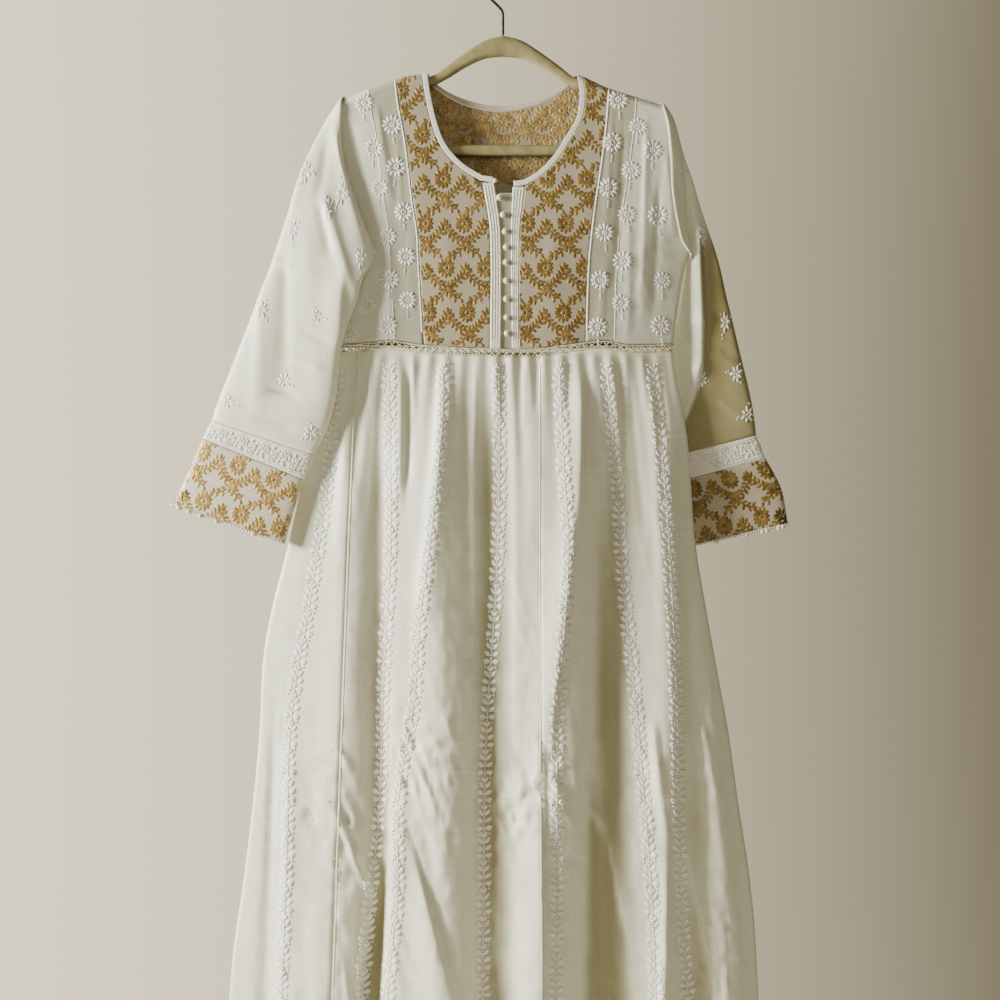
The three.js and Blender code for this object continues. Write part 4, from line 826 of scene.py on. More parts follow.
def woven(name, colour, deep, warp_mm, weft_mm, relief, **finish):
    """A woven cloth: uneven warp and weft threads, drawn as wide as they need to show, and cloudy ageing.

    Its colour is painted warmer and darker where the painted_shade attribute is high: painted shade in the
    hollows, for light that only reaches them through the cloth.
    """
    material, tree, shader = new_material(name)
    cut = add_node(tree, "ShaderNodeUVMap", uv_map="cut").outputs[0]
    place = add_node(tree, "ShaderNodeTexCoord").outputs["Object"]
    warp = scaled_noise(tree, cut, (1000 / warp_mm, 1000 / (24 * warp_mm), 1))
    weft = scaled_noise(tree, cut, (1000 / (30 * weft_mm), 1000 / weft_mm, 1))
    cloud = scaled_noise(tree, place, (9, 9, 5), 4.0)
    threads = add_node(tree, "ShaderNodeMath", {0: warp, 1: weft}, operation="ADD").outputs[0]
    painted_shade = add_node(tree, "ShaderNodeAttribute", attribute_name="painted_shade").outputs["Fac"]
    # painted shade: the colour goes towards the deep one as the attribute rises
    shade = blend(tree, painted_shade, linear(colour), linear(deep))
    worn = blend(tree, ranged(tree, cloud, 0.45, 0.75, 0.0, 0.22), shade, linear(deep))
    slubs = blend(tree, ranged(tree, threads, 0.85, 1.25, 0.16, 0.0), worn, linear(deep))
    tree.links.new(slubs, shader.inputs["Base Color"])
    bump = add_node(tree, "ShaderNodeBump", {"Height": threads, "Strength": 0.5, "Distance": relief / 1000})
    tree.links.new(bump.outputs[0], shader.inputs["Normal"])
    set_finish(shader, **finish)
    return material


WAVE_REPEAT = 0.314  # metres: a wave texture's repeat at a scale of 1


def spun(name, light, dark, twist_mm, relief, **finish):
    """Thread: fine slanting twists, and lighter and darker stitches."""
    material, tree, shader = new_material(name)
    place = add_node(tree, "ShaderNodeTexCoord").outputs["Object"]
    wave = {"Vector": place, "Scale": WAVE_REPEAT / (twist_mm / 1000), "Distortion": 1.5, "Detail": 1.0}
    twist = add_node(tree, "ShaderNodeTexWave", wave, bands_direction="DIAGONAL").outputs["Fac"]
    patches = scaled_noise(tree, place, (160, 160, 160))
    shade = blend(tree, ranged(tree, patches, 0.32, 0.68), linear(dark), linear(light))
    tree.links.new(shade, shader.inputs["Base Color"])
    bump = add_node(tree, "ShaderNodeBump", {"Height": twist, "Strength": 0.6, "Distance": relief / 1000})
    tree.links.new(bump.outputs[0], shader.inputs["Normal"])
    set_finish(shader, **finish)
    return material


def moulded(name, colour, dark, size, relief, **finish):
    """A moulded, drawn or painted solid: faint mottling and a slightly uneven skin."""
    material, tree, shader = new_material(name)
    place = add_node(tree, "ShaderNodeTexCoord").outputs["Object"]
    mottle = scaled_noise(tree, place, (1 / size,) * 3, 3.0)
    shade = blend(tree, ranged(tree, mottle, 0.35, 0.7), linear(colour), linear(dark))
    tree.links.new(shade, shader.inputs["Base Color"])
    tree.links.new(ranged(tree, mottle, 0.3, 0.7, finish["Roughness"] - 0.07, finish["Roughness"] + 0.07),
                   shader.inputs["Roughness"])
    bump = add_node(tree, "ShaderNodeBump", {"Height": mottle, "Strength": 0.4, "Distance": relief})
    tree.links.new(bump.outputs[0], shader.inputs["Normal"])
    set_finish(shader, **finish)
    return material


# mulmul, a fine hand-woven cotton with a silk weft: a cool soft lustre, and painted shade, warm and dark,
# where it is doubled in a hollow
ivory_cotton = woven("silk_cotton_mulmul", "#EFF1DB", "#8A8150", 1.6, 1.8, 0.22, Roughness=0.44,
                     Sheen_Weight=0.3, Sheen_Roughness=0.4, Specular_IOR_Level=0.45)
# the same cloth in a single layer, painted greyer: painted shade for the dark inside seen through it
sheer_cotton = woven("sheer_mulmul", "#E0E2CE", "#837D5C", 1.5, 1.7, 0.22, Roughness=0.55, Sheen_Weight=0.25,
                     Sheen_Roughness=0.4, Specular_IOR_Level=0.4)
# silk brocade's ground: a pale raw silk with slubbed weft, a little shiny
brocade = woven("brocade_silk_ground", "#DCD3BE", "#75683F", 1.3, 1.5, 0.2, Roughness=0.42, Sheen_Weight=0.3,
                Sheen_Roughness=0.3, Specular_IOR_Level=0.5)
# cotton cut on the bias: its threads run slanting, and it is dull
bias_binding = woven("bias_cotton", "#EFEBDE", "#B3A98A", 1.2, 1.2, 0.2, Roughness=0.7, Sheen_Weight=0.2,
                     Sheen_Roughness=0.5)
# zari, gilt thread woven as an extra weft: half metal, broken up by its twist; painted lighter, as painted
# light, for the lit left cuff
lit_zari_thread = spun("lit_gilt_zari_thread", "#CFB06A", "#94763A", 0.9, 0.15, Roughness=0.38, Metallic=0.4)
# the same thread painted darker, as painted shade, for the bodice and the right cuff
shaded_zari_thread = spun("shaded_zari_thread", "#9C8044", "#66501F", 0.9, 0.15, Roughness=0.42, Metallic=0.4)
# the back of the brocade, where the same thread floats loosely
dull_zari_thread = spun("loose_zari_floats", "#BCA066", "#8C7444", 0.9, 0.15, Roughness=0.55, Metallic=0.35)
# loosely twisted white cotton floss, for the shadow work, knots and borders
white_floss = spun("white_cotton_floss", "#FFFEFA", "#EFEDE2", 0.8, 0.25, Roughness=0.75, Sheen_Weight=0.25)
# the openwork trim's thread: mercerised cotton, cream, a little shiny
trim_thread = spun("mercerised_trim_thread", "#EFE8CD", "#B4A77C", 0.8, 0.2, Roughness=0.55,
                   Sheen_Weight=0.15)
# pearl lacquer over a glass bead: a clear coat on a cream body
pearl_lacquer = moulded("pearl_lacquer", "#F3ECD6", "#DCD0B4", 0.004, 0.0001, Roughness=0.3, Coat_Weight=0.6,
                        Coat_Roughness=0.12)
# moulded polypropylene, a dull olive cream
moulded_plastic = moulded("moulded_polypropylene", "#9D9567", "#877D54", 0.012, 0.0003, Roughness=0.45)
# drawn steel wire, darkened
dark_wire = moulded("drawn_steel_wire", "#4A4238", "#2C2721", 0.006, 0.0001, Roughness=0.38, Metallic=0.9)

# ---------------------------------------------------------------- bodice
WAIST_GAP = 3 * SEAM
# amounts of painted shade: in the hollows, on the yoke, on the single cloth beside it, and on the underlay
# below the strips
HOLLOW_SHADE = 0.75  # how far a hollow's colour goes towards its deep one
HOLLOW_START, HOLLOW_FULL = 0.5, 13  # mm deep
YOKE_SHADE = 0.52  # how far the yoke's colour goes towards its deep one
SINGLE_SHADE, SINGLE_WIDTH = 0.6, 34  # the same for the single cloth beside the yoke, and how wide that shows
UNDERLAY_SHADE, UNDERLAY_TOP, UNDERLAY_INWARD = 0.7, -272.0, 1.6
BINDING_STEPS = np.linspace(0, 1, 7)


def bodice_end(face):
    """The line where the bodice ends, above the trim, as a function of x."""
    return lambda x: face["waist"](x) + TRIM_HEIGHT / 2 + WAIST_GAP


def between(left, right, acrosses):
    """Rows of places x, z from one edge to another."""
    return left[:, None, :] + (right - left)[:, None, :] * np.asarray(acrosses)[None, :, None]


def fitted(rows, waist_line):
    """Bends rows of places so that the first follows the shoulder seam and the last the waist."""
    start, end = rows[:1], rows[-1:]
    down = (rows[..., 1] - start[..., 1]) / (end[..., 1] - start[..., 1])
    shift = ((shoulder_z(start[..., 0]) - start[..., 1]) * (1 - down) ** 2
             + (waist_line(end[..., 0]) - end[..., 1]) * down ** 4)
    return joined(rows[..., 0], rows[..., 1] + shift)


def offset(rows, distance):
    """Moves a run of places sideways, to the left of its run where the distance is positive."""
    padded = np.vstack([rows[:1], rows, rows[-1:]])
    run = unit(padded[2:] - padded[:-2])
    return rows + joined(-run[:, 1], run[:, 0]) * distance


def neck_edges(neck, fractions, side, slit=None):
    """A neckline's inner edge, its binding's outer edge and where the yoke begins beyond it."""
    inner = path(joined(neck["x"], neck["z"]))(fractions)
    if slit is not None:
        tail = np.linspace(0, 1, 9)[1:, None]
        inner = np.vstack([inner, inner[-1] + (np.array(slit) - inner[-1]) * tail])

    def outside(distance):
        """The neckline moved out, and up to the shoulder seam where it comes near it."""
        rows = offset(inner, side * distance)
        below = np.maximum(shoulder_z(inner[:, 0]) - inner[:, 1], 0)
        near = clamp(1 - below / 40)
        return joined(rows[:, 0], mix(rows[:, 1], shoulder_z(rows[:, 0]) - below, near))

    return outside(0), outside(BINDING_WIDTH), outside(BINDING_WIDTH + 1.5 * SEAM)


def strip_edge(placket, column, downs, shift=0.0):
    """A placket strip's edge, from its top down to the waist."""
    top = placket["z"][0]
    x = curve(placket, "z", column)(mix(top, WAIST_Z, downs)) + shift
    return joined(x, mix(top, bodice_end(FRONT)(x), downs))


def seam_beside(seam, edge, waist_line):
    """A seam's places, as far down in proportion as those of the edge beside it."""
    top, end = shoulder_z(seam["x"][0]), waist_line(seam["x"][-1])
    z = mix(top, end, (edge[:, 1] - edge[0, 1]) / (edge[-1, 1] - edge[0, 1]))
    return joined(curve(seam, "z", "x")(z), z)


def side_beside(side, seam, waist_line):
    """The armhole and side seam, beside the seam that its panel runs to."""
    edge = {"x": np.r_[ARMHOLE["x"], right_width(-400.0), right_width(WAIST_Z)],
            "z": np.r_[ARMHOLE["z"], -400.0, WAIST_Z]}
    down = (seam[:, 1] - seam[0, 1]) / (seam[-1, 1] - seam[0, 1])
    z = mix(shoulder_z(side * ARMHOLE["x"][0]), waist_line(side * right_width(WAIST_Z)), down)
    x = np.minimum(curve(edge, "z", "x")(z), half_width(side, z) - 0.01)
    return joined(side * x, z)


def eased(count, power):
    """Fractions from 0 to 1 that start close together."""
    return np.linspace(0, 1, count) ** power


def body_shell(name, face, rows, material, thickness, inward=0.0, added_shade=0.0, held="hung", **words):
    """A panel of the body from rows of places, as a shell, with painted shade: deepest in colour where its
    relief is lowest.
    """
    grid = on_body(face, rows[..., 0], rows[..., 1], np.full(rows.shape[:2], -inward))
    depth = -body_relief(face, rows[..., 0], rows[..., 1])
    painted_shade = clamp(HOLLOW_SHADE * smoothstep(depth, HOLLOW_START, HOLLOW_FULL) + added_shade)
    outward = np.array([0, face["out"], 0])
    return shell(name, grid, material, thickness, outward, painted_shade=painted_shade, held=held, **words)


SIDE_COLUMNS = 1 - eased(46, 1.6)[::-1]
yoke_edges = {}
NECK_FRACTIONS = eased(44, 1.7)
DOWNS = np.linspace(0, 1, 76)
for name, side, neck, slit, placket, seam_table in (
        ("left", -1, NECK_LEFT, SLIT_LEFT, PLACKET_LEFT, YOKE_SEAM_LEFT),
        ("right", 1, NECK_RIGHT, SLIT_RIGHT, PLACKET_RIGHT, YOKE_SEAM_RIGHT)):
    end = bodice_end(FRONT)
    inner, outer, beyond = neck_edges(neck, NECK_FRACTIONS, side, slit)
    edge = np.vstack([beyond[:-8], strip_edge(placket, "outer", DOWNS, side * SEAM)])
    seam = seam_beside(seam_table, edge, end)
    yoke_edges[name] = (edge, seam - [side * SEAM, 0])
    yoke = fitted(between(edge, seam - [side * SEAM, 0], np.linspace(0, 1, 50)), end)
    panel = fitted(between(seam, side_beside(side, seam, end), SIDE_COLUMNS), end)
    # the yoke's brocade takes extra painted shade
    body_shell(f"front_yoke_{name}_silk", FRONT, yoke, brocade, SILK, added_shade=YOKE_SHADE,
               replaced=[f"front_yoke_{name}"], slot="brocade")
    # the single cloth beside the yoke takes painted shade, for the dark inside seen through it
    beside = np.abs(panel[..., 0] - seam[:, :1])
    single_layer_shade = SINGLE_SHADE * (beside < SINGLE_WIDTH)
    body_shell(f"front_side_{name}_cotton", FRONT, panel, sheer_cotton, COTTON, added_shade=single_layer_shade,
               replaced=[f"front_side_{name}"], slot="sheer_cotton")
    binding = between(inner, outer, BINDING_STEPS)
    body_shell(f"neck_binding_front_{name}_bias", FRONT, binding, bias_binding, SILK,
               replaced=[f"neck_binding_front_{name}"], slot="binding")
    near, far = strip_edge(placket, "inner", DOWNS), strip_edge(placket, "outer", DOWNS)
    strip = between(near, far, np.linspace(0, 1, 9))
    body_shell(f"placket_{name}_strip", FRONT, strip, ivory_cotton, COTTON, replaced=[f"placket_{name}"],
               slot="cotton")
under_x = np.linspace(-13, 17, 13)
under_z = mix(UNDERLAY_TOP, bodice_end(FRONT)(under_x)[None, :], DOWNS[:, None])
underlay = joined(np.broadcast_to(under_x, under_z.shape), under_z)
# the underlay lies a little inward and takes painted shade
body_shell("placket_underlay_cotton", FRONT, underlay, sheer_cotton, COTTON, UNDERLAY_INWARD, UNDERLAY_SHADE,
           replaced=["placket_underlay"], slot="sheer_cotton")

to_middle = 1 - 2 * np.linspace(0, 1, 81)
neck_fractions = 1 - np.abs(to_middle) ** 1.5 * np.sign(to_middle) * 0.5 - 0.5
inner, outer, beyond = neck_edges(NECK_BACK, neck_fractions, -1)
body_shell("neck_binding_back_bias", BACK, between(inner, outer, BINDING_STEPS), bias_binding, SILK,
           replaced=["neck_binding_back"], slot="binding")
end = bodice_end(BACK)
back_z = mix(shoulder_z(126.5), float(end(0.0)), eased(90, 1.6))
back_edge = joined(back_z, back_z)
MIRRORED_SEAM = {"x": -YOKE_SEAM_RIGHT["x"], "z": YOKE_SEAM_RIGHT["z"]}
back_seams = {name: seam_beside(seam, back_edge, end)
              for name, seam in (("left", MIRRORED_SEAM), ("right", YOKE_SEAM_RIGHT))}
for name, side in (("left", -1), ("right", 1)):
    seam = back_seams[name]
    panel = fitted(between(seam, side_beside(side, seam, end), SIDE_COLUMNS), end)
    body_shell(f"back_side_{name}_cotton", BACK, panel, sheer_cotton, COTTON, replaced=[f"back_side_{name}"],
               slot="sheer_cotton")
yoke_left, yoke_right = back_seams["left"] + [SEAM, 0], back_seams["right"] - [SEAM, 0]
top = np.vstack([yoke_left[:1], beyond, yoke_right[:1]])
across = (top[:, 0] - yoke_left[0, 0]) / (yoke_right[0, 0] - yoke_left[0, 0])
rise = top[:, 1] - mix(yoke_left[0, 1], yoke_right[0, 1], across)
rows = between(yoke_left, yoke_right, across)
rows[..., 1] += rise[None, :] * (1 - eased(90, 1.6))[:, None]
body_shell("back_yoke_silk", BACK, rows, brocade, SILK, replaced=["back_yoke"], slot="brocade")

# ---------------------------------------------------------------- skirt
skirt_seam_left = curve(SKIRT_SEAMS, "z", "left")
skirt_seam_right = curve(SKIRT_SEAMS, "z", "right")
SKIRT_ROWS = eased(170, 1.12)


def skirt_places(face, left_x, right_x, acrosses):
    """Rows of places between two edges, the first row along the waist and the last on the level hem."""
    def edge(x_at):
        """An edge's places across, a row for each height."""
        z = mix(face["waist"](x_at(WAIST_Z)) - TRIM_HEIGHT / 2 - SEAM, HEM_Z, SKIRT_ROWS)
        return x_at(z)
    x = mix(edge(left_x)[:, None], edge(right_x)[:, None], acrosses[None, :])
    z = mix(face["waist"](x) - TRIM_HEIGHT / 2 - SEAM, HEM_Z, SKIRT_ROWS[:, None])
    return joined(np.sign(x) * np.minimum(np.abs(x), half_width(x, z)), z)


for side_name, face, columns in (("front", FRONT, (26, 84, 62)), ("back", BACK, (20, 64, 48))):
    for name, left_x, right_x, acrosses in (
            ("left", lambda z: -left_width(z), skirt_seam_left, eased(columns[0], 1.8)),
            ("centre", lambda z: skirt_seam_left(z) + SEAM, skirt_seam_right, np.linspace(0, 1, columns[1])),
            ("right", lambda z: skirt_seam_right(z) + SEAM, right_width, 1 - eased(columns[2], 1.25)[::-1])):
        body_shell(f"skirt_{side_name}_{name}_cotton", face, skirt_places(face, left_x, right_x, acrosses),
                   ivory_cotton, COTTON, held="gathered", replaced=[f"skirt_{side_name}_{name}"],
                   slot="cotton")

# ---------------------------------------------------------------- sleeves
TIP_X, FLAP_END_X, UNDERARM_REACH, UNDERARM_STEPS = 191.0, -219.0, 230.0, 4
HEAD_DROPS = np.array([0.012, 0.05, 0.15, 0.29, 0.43, 0.57, 0.71, 0.84, 0.94, 1])
LEFT_BACK_DROPS = np.array([0.84, 0.58, 0.28, 0.06, 0.012])
RING = 2 * np.pi * np.arange(SLEEVE_POINTS) / SLEEVE_POINTS  # angles round a sleeve


def free_rings(sections):
    """Flattened rings, one a row: from the outer edge to the inner and back, as full as a blunt sine."""
    t = (1 - np.cos(RING)) / 2
    layer = -np.sign(np.sin(RING)) * np.abs(np.sin(RING)) ** 0.7
    x, y, z = (mix(sections[f"outer_{axis}"][:, None], sections[f"inner_{axis}"][:, None], t)
               for axis in "xyz")
    return joined(x, y + sections["depth"][:, None] * layer, z)


def from_shoulder(line, side=1):
    """A path along a line of the armhole that starts on the shoulder seam."""
    x, z = side * line["x"], line["z"].copy()
    z[0] = shoulder_z(x[0])
    return path(joined(x, z))


def head_ring(side):
    """The sleeve's first ring and its normals: over the shoulder, down in front, under the arm, up behind."""
    back = from_shoulder(SLEEVE_SEAM, side)
    front = from_shoulder(LEFT_LAP) if side < 0 else back
    tip = [side * TIP_X, 0, shoulder_z(side * TIP_X) + LAP]
    underarm = [side * UNDERARM_REACH, 0, UNDERARM_Z - 4]

    def lapped(face, places, lap):
        """Points over the body's face, a lap away from it, and its normals there."""
        x, z = places[:, 0], places[:, 1]
        return on_body(face, x, z, np.full(len(x), 1.0) * lap), body_normal(face, x, z)

    if side > 0:
        fronts = lapped(FRONT, front(HEAD_DROPS[:-1]), LAP)
        backs = lapped(BACK, back(HEAD_DROPS[:-1][::-1]), LAP)
        parts = [fronts, ([underarm], [[side, 0, 0]]), backs]
    else:
        at = np.linspace(0, 1, UNDERARM_STEPS)[1:]
        x = mix(LEFT_LAP["x"][-1], FLAP_END_X, at)
        under = lapped(FRONT, joined(x, np.full(len(x), UNDERARM_Z - 6)), LAP + 2 * at)
        parts = [lapped(FRONT, front(HEAD_DROPS), LAP), under, ([underarm], [[side, 0, 0]]),
                 lapped(BACK, back(LEFT_BACK_DROPS), LAP + 1)]
    points = np.vstack([[tip]] + [part[0] for part in parts])
    normals = np.vstack([[[0, 0, 1]]] + [part[1] for part in parts])
    return points, normals


def clear_of_body(points, side):
    """Keeps a sleeve's points outside the body where it hangs across it."""
    face = FRONT if side < 0 else BACK
    width = half_width(points[..., 0], points[..., 2]) + LAP
    reach = np.minimum(np.abs(points[..., 0]), width - LAP - 0.5)
    limit = body_y(face, side * reach, points[..., 2]) + side * (LAP + 0.6)
    beside = (points[..., 2] > UNDERARM_Z + 2) | (np.abs(points[..., 0]) > width)
    held = np.minimum(points[..., 1], limit) if side < 0 else np.maximum(points[..., 1], limit)
    points = points.copy()
    points[..., 1] = np.where(beside, points[..., 1], held)
    return points


def sleeve_rings(side, sections):
    """All rings of a sleeve: the head, a collar beside it, then sections that come free of the armhole."""
    head, normals = head_ring(side)
    under = np.where(np.abs(np.arange(SLEEVE_POINTS) - SLEEVE_POINTS / 2) < 5, 0.5, 0.1)
    away = joined(np.full(SLEEVE_POINTS, float(side)), np.zeros(SLEEVE_POINTS), -under)
    away = unit(away - normals * np.sum(away * normals, axis=-1, keepdims=True))
    collar = head + away * 2.5 + normals * 0.4
    backward = np.maximum(-np.sin(RING), 0) ** 0.5
    step = np.arange(1, len(sections["depth"]) + 1)[:, None, None]
    held = collar[None] + step * np.array([side * 5, 0, -5])
    join = mix(sections["front"][:, None], sections["back"][:, None], backward)[..., None]
    rings = clear_of_body(mix(held, free_rings(sections), join), side)
    return np.concatenate([head[None], collar[None], rings])


def refine_around(rings, steps):
    """Catmull-Rom curves round each ring, with steps points for each of its points."""
    t = (np.arange(steps) / steps)[None, None, :, None]
    p0, p1, p2, p3 = (np.roll(rings, shift, axis=1)[:, :, None, :] for shift in (1, 0, -1, -2))
    fine = 0.5 * (2 * p1 + (p2 - p0) * t + (2 * p0 - 5 * p1 + 4 * p2 - p3) * t ** 2
                  + (3 * p1 - p0 - 3 * p2 + p3) * t ** 3)
    return fine.reshape(len(rings), -1, 3)


def refine_along(rings, pitch):
    """Hermite curves from ring to ring, through as many rings as the pitch asks for."""
    ways = so_far(steps_of(rings).mean(axis=1))
    return smooth_run(ways, rings)(np.linspace(0, ways[-1], max(int(ways[-1] / pitch), 4)))


CALM_CUFF = 14  # mm from a sleeve's ends over which its creases die away
# how far the painted shade on the right cuff, and on the right sleeve's back layer, takes its colour towards
# the deep one
CUFF_SHADE, UNDER_SHADE = 0.45, 0.92


def tube_shell(name, rings, material, thickness, pitch, around=6, creases=NO_CREASES, painted_shade=None, **words):
    """A sleeve's piece as a shell from smoothly joined rings, creased less behind. Gives its grid."""
    grid = refine_along(refine_around(rings, around), pitch)
    outward = grid - grid.mean(axis=1, keepdims=True)
    normals = grid_normals(grid, closed=True)
    normals *= np.sign(np.sum(normals * outward))
    x, z = grid[..., 0], grid[..., 2]
    ends = np.minimum(np.arange(len(grid)), np.arange(len(grid))[::-1])[:, None] * pitch
    height = np.where(normals[..., 1] < 0, creased(creases, x, z), 0.6 * creased(creases, x + 9, z + 24))
    calm = smoothstep(ends, 0, CALM_CUFF)
    height = height * clamp(np.abs(normals[..., 1]) * 2) * calm
    height = height + 0.35 * noise(x / 22 + 40, z / 30, 17) * calm * (len(creases["height"]) > 1)
    grid = grid + normals * height[..., None]
    # painted shade in the troughs of the creases
    deep = 0.7 * smoothstep(-height, 0.2, 4)
    if painted_shade is not None:
        deep = clamp(deep + painted_shade(x, z) * (normals[..., 1] < 0))
    shell(name, grid, material, thickness, outward, closed=True, painted_shade=deep, held="hung", **words)
    return grid


def under_fold_shade(x, z):
    """How much painted shade the right sleeve's back layer takes, right of the fold of its front layer."""
    fold = np.interp(z, [-570, -544, -506, -486, -427, -341], [196, 221, 236, 241, 242, 236])
    return UNDER_SHADE * smoothstep(x - fold, -1, 3) * smoothstep(-z, 290, 345)


sleeve_grids = {}
for name, side, sections, creases, band, cuff in (
        ("left", -1, SLEEVE_LEFT, LEFT_SLEEVE_CREASES, BAND_LEFT, CUFF_LEFT),
        ("right", 1, SLEEVE_RIGHT, RIGHT_SLEEVE_CREASES, BAND_RIGHT, CUFF_RIGHT)):
    # the right sleeve's back layer and the right cuff take painted shade
    sleeve_grids[f"sleeve_{name}"] = tube_shell(
        f"sleeve_{name}_cotton", sleeve_rings(side, sections), ivory_cotton, COTTON, 4.0, creases=creases,
        painted_shade=None if side < 0 else under_fold_shade, replaced=[f"sleeve_{name}"], slot="cotton")
    sleeve_grids[f"band_{name}"] = tube_shell(
        f"sleeve_band_{name}_cotton", clear_of_body(free_rings(band), side), ivory_cotton, COTTON, 2.0,
        replaced=[f"sleeve_band_{name}"], slot="embroidered_border")
    sleeve_grids[f"cuff_{name}"] = tube_shell(
        f"cuff_{name}_silk", clear_of_body(free_rings(cuff), side), brocade, SILK, 3.0,
        painted_shade=None if side < 0 else lambda x, z: CUFF_SHADE, replaced=[f"cuff_{name}"], slot="brocade")

# ---------------------------------------------------------------- embroidery
def mirrored(bases, angles):
    """Places and angles with their mirror images across the middle."""
    bases = np.asarray(bases, float)
    return np.concatenate([bases, bases * [-1, 1]]), np.concatenate([angles, 180 - np.asarray(angles)])


def in_turn(count, angle):
    """An angle to one side and to the other in turn."""
    return np.where(np.arange(count) % 2 == 0, angle, -angle)


VINE_STEP = 33.0  # height of one unit of a vine column
pairs, pair_angles = mirrored([(1, 4), (1, 11), (1, 19), (0.6, 26)], [12.0, 36.0, 52.0, 66.0])
VINE_LEAVES = leaves(pairs, pair_angles, [9.4, 10.2, 10, 7.5] * 2, [6.8, 6.2, 5.4, 4] * 2, 1.1)
stem_knots = [(0, up) for up in range(0, 33, 3)]
side_knots = [(side * 6.5, up) for side in (-1, 1) for up in (2, 31)]
VINE_KNOTS = knots(stem_knots + side_knots, 2.6, 1.1)
PETALS = np.arange(12) * 30.0
DAISY_PETALS = leaves(spokes(PETALS) * 4.4, PETALS, 7.6, 3.9, 0.8)
DAISY_KNOTS = knots(np.vstack([spokes(np.arange(8) * 45.0) * 2.6, [[0, 0]]]), 1.9, 0.8)
DROP = knots([(0, -15.5), (0, -18.5), (0, -21.5)], 2.2, 0.7)
SPRIG_ANGLES = np.array([20.0, 70, 120, 165, 215, 270, 325])
SPRIG = leaves(spokes(SPRIG_ANGLES) * 1.6, SPRIG_ANGLES, [8, 9, 7, 8, 7.5, 9, 7], 3.6, 0.8)
SPRIG_KNOTS = knots([(0, 0), (9.5, 7), (-9, 6), (3, -12), (2, -15)], 2.0, 0.7)


def vines(mirror):
    """All vine columns of one side: units one above another, each turned along its column."""
    places, turns = [], []
    for vine in VINES:
        across = curve(vine, "z", "x")
        z = np.arange(vine["z"].max() - 4, vine["z"].min() + 20, -VINE_STEP) - VINE_STEP
        x = across(z)
        places.append(joined(mirror * x, z))
        turns.append(np.arctan2(mirror * (x - across(z + VINE_STEP)), VINE_STEP))
    places, turns = np.concatenate(places), np.concatenate(turns)
    return [repeated(VINE_LEAVES, places, turns), repeated(VINE_KNOTS, places, turns)]


def daisies(places):
    """Daisies with their drops, each turned and sized a little unlike the next."""
    spread = np.random.default_rng(5)
    sizes, turns = spread.uniform(0.93, 1.07, len(places)), spread.uniform(-0.12, 0.12, len(places))
    return [repeated(motif, places, turns, sizes) for motif in (DAISY_PETALS, DAISY_KNOTS, DROP)]


for name, face, mirror in (("front", FRONT, 1), ("back", BACK, -1)):
    stitched(f"{name}_vine_embroidery", vines(mirror), on_face(face), white_floss)
for name, face, places in (("front", FRONT, FRONT_DAISIES), ("back", BACK, BACK_DAISIES)):
    stitched(f"{name}_daisy_embroidery", daisies(places), on_face(face), white_floss)

for name, sprigs in (("left", LEFT_SPRIGS), ("right", RIGHT_SPRIGS)):
    place, find, around, fall = on_tube(sleeve_grids[f"sleeve_{name}"])
    sprigs = np.array(sprigs, float)
    places = np.vstack([find(sprigs[:, 0], sprigs[:, 1]), find(sprigs[:, 0], sprigs[:, 1] - 26, False)])
    turns = np.linspace(0, 4, len(places))
    motifs = [repeated(motif, places, turns) for motif in (SPRIG, SPRIG_KNOTS)]
    stitched(f"sleeve_{name}_sprigs", motifs, place, white_floss)

    # the border: a waving stem with leaves on both sides and a flower in each bend, between corded edges
    place, find, around, fall = on_tube(sleeve_grids[f"band_{name}"])
    waves = round(around / 26)
    wave = around / waves
    middle = -fall / 2
    at = np.linspace(0, around, waves * 12 + 1)[:-1]
    sway = 0.16 * fall
    stem = joined(at, middle + sway * np.sin(2 * np.pi * at / wave))
    lean = np.degrees(np.arctan2(sway * np.cos(2 * np.pi * at / wave) * 2 * np.pi / wave, 1))
    bends = (np.arange(waves * 2) + 0.5) * wave / 2
    flowers = joined(bends, middle - 0.2 * fall * np.sin(2 * np.pi * bends / wave))
    edges = [cord([(0.5, -up), (around * 0.5, -up), (around - 0.5, -up)], 1.5, 0.8)
             for up in (1.6, 4.0, fall - 4.0, fall - 1.6)]
    border = [leaves(stem, lean + in_turn(len(at), 52), 6.4, 3.2, 0.9), knots(stem, 2.2, 0.8),
              repeated(DAISY_PETALS, flowers, 0.2, 0.5), repeated(knots([(0, 0)], 3.4, 1.0), flowers)]
    stitched(f"sleeve_band_{name}_embroidery", border + edges, place, white_floss)

# ---------------------------------------------------------------- brocade's woven pattern
FLOWER = leaves(spokes(PETALS) * [1, 1.15] * 2.6, PETALS, 8.4 + 1.4 * np.abs(spokes(PETALS)[:, 1]), 5.8, 0.3)
FLOWER_EYE = knots([(0, 0)], 5.4, 0.35)
# the stem that waves under the flowers, and the two that droop from it beside the flowers of the next row
CUP = [(-23.3, -3), (-16, -12), (-6, -20), (5, -21), (15, -14), (23.3, -3)]
DROOPS = [[(1, -21), (-2, -29), (-8, -36), (-15, -39)], [(2, -21), (6, -29), (12, -35), (18, -36)]]


def leafy(points, pitch, length, width):
    """A stem along points with leaves that spring from its two sides in turn."""
    run = path(points)
    at = np.linspace(0.04, 0.96, int(steps_of(points).sum() / pitch))
    ahead = run(at + 0.02) - run(at - 0.02)
    angles = np.degrees(np.arctan2(ahead[:, 1], ahead[:, 0])) + in_turn(len(at), 58)
    return [cord(points, 2.4, 0.28, pitch=2.0), leaves(run(at), angles, length, width, 0.28)]


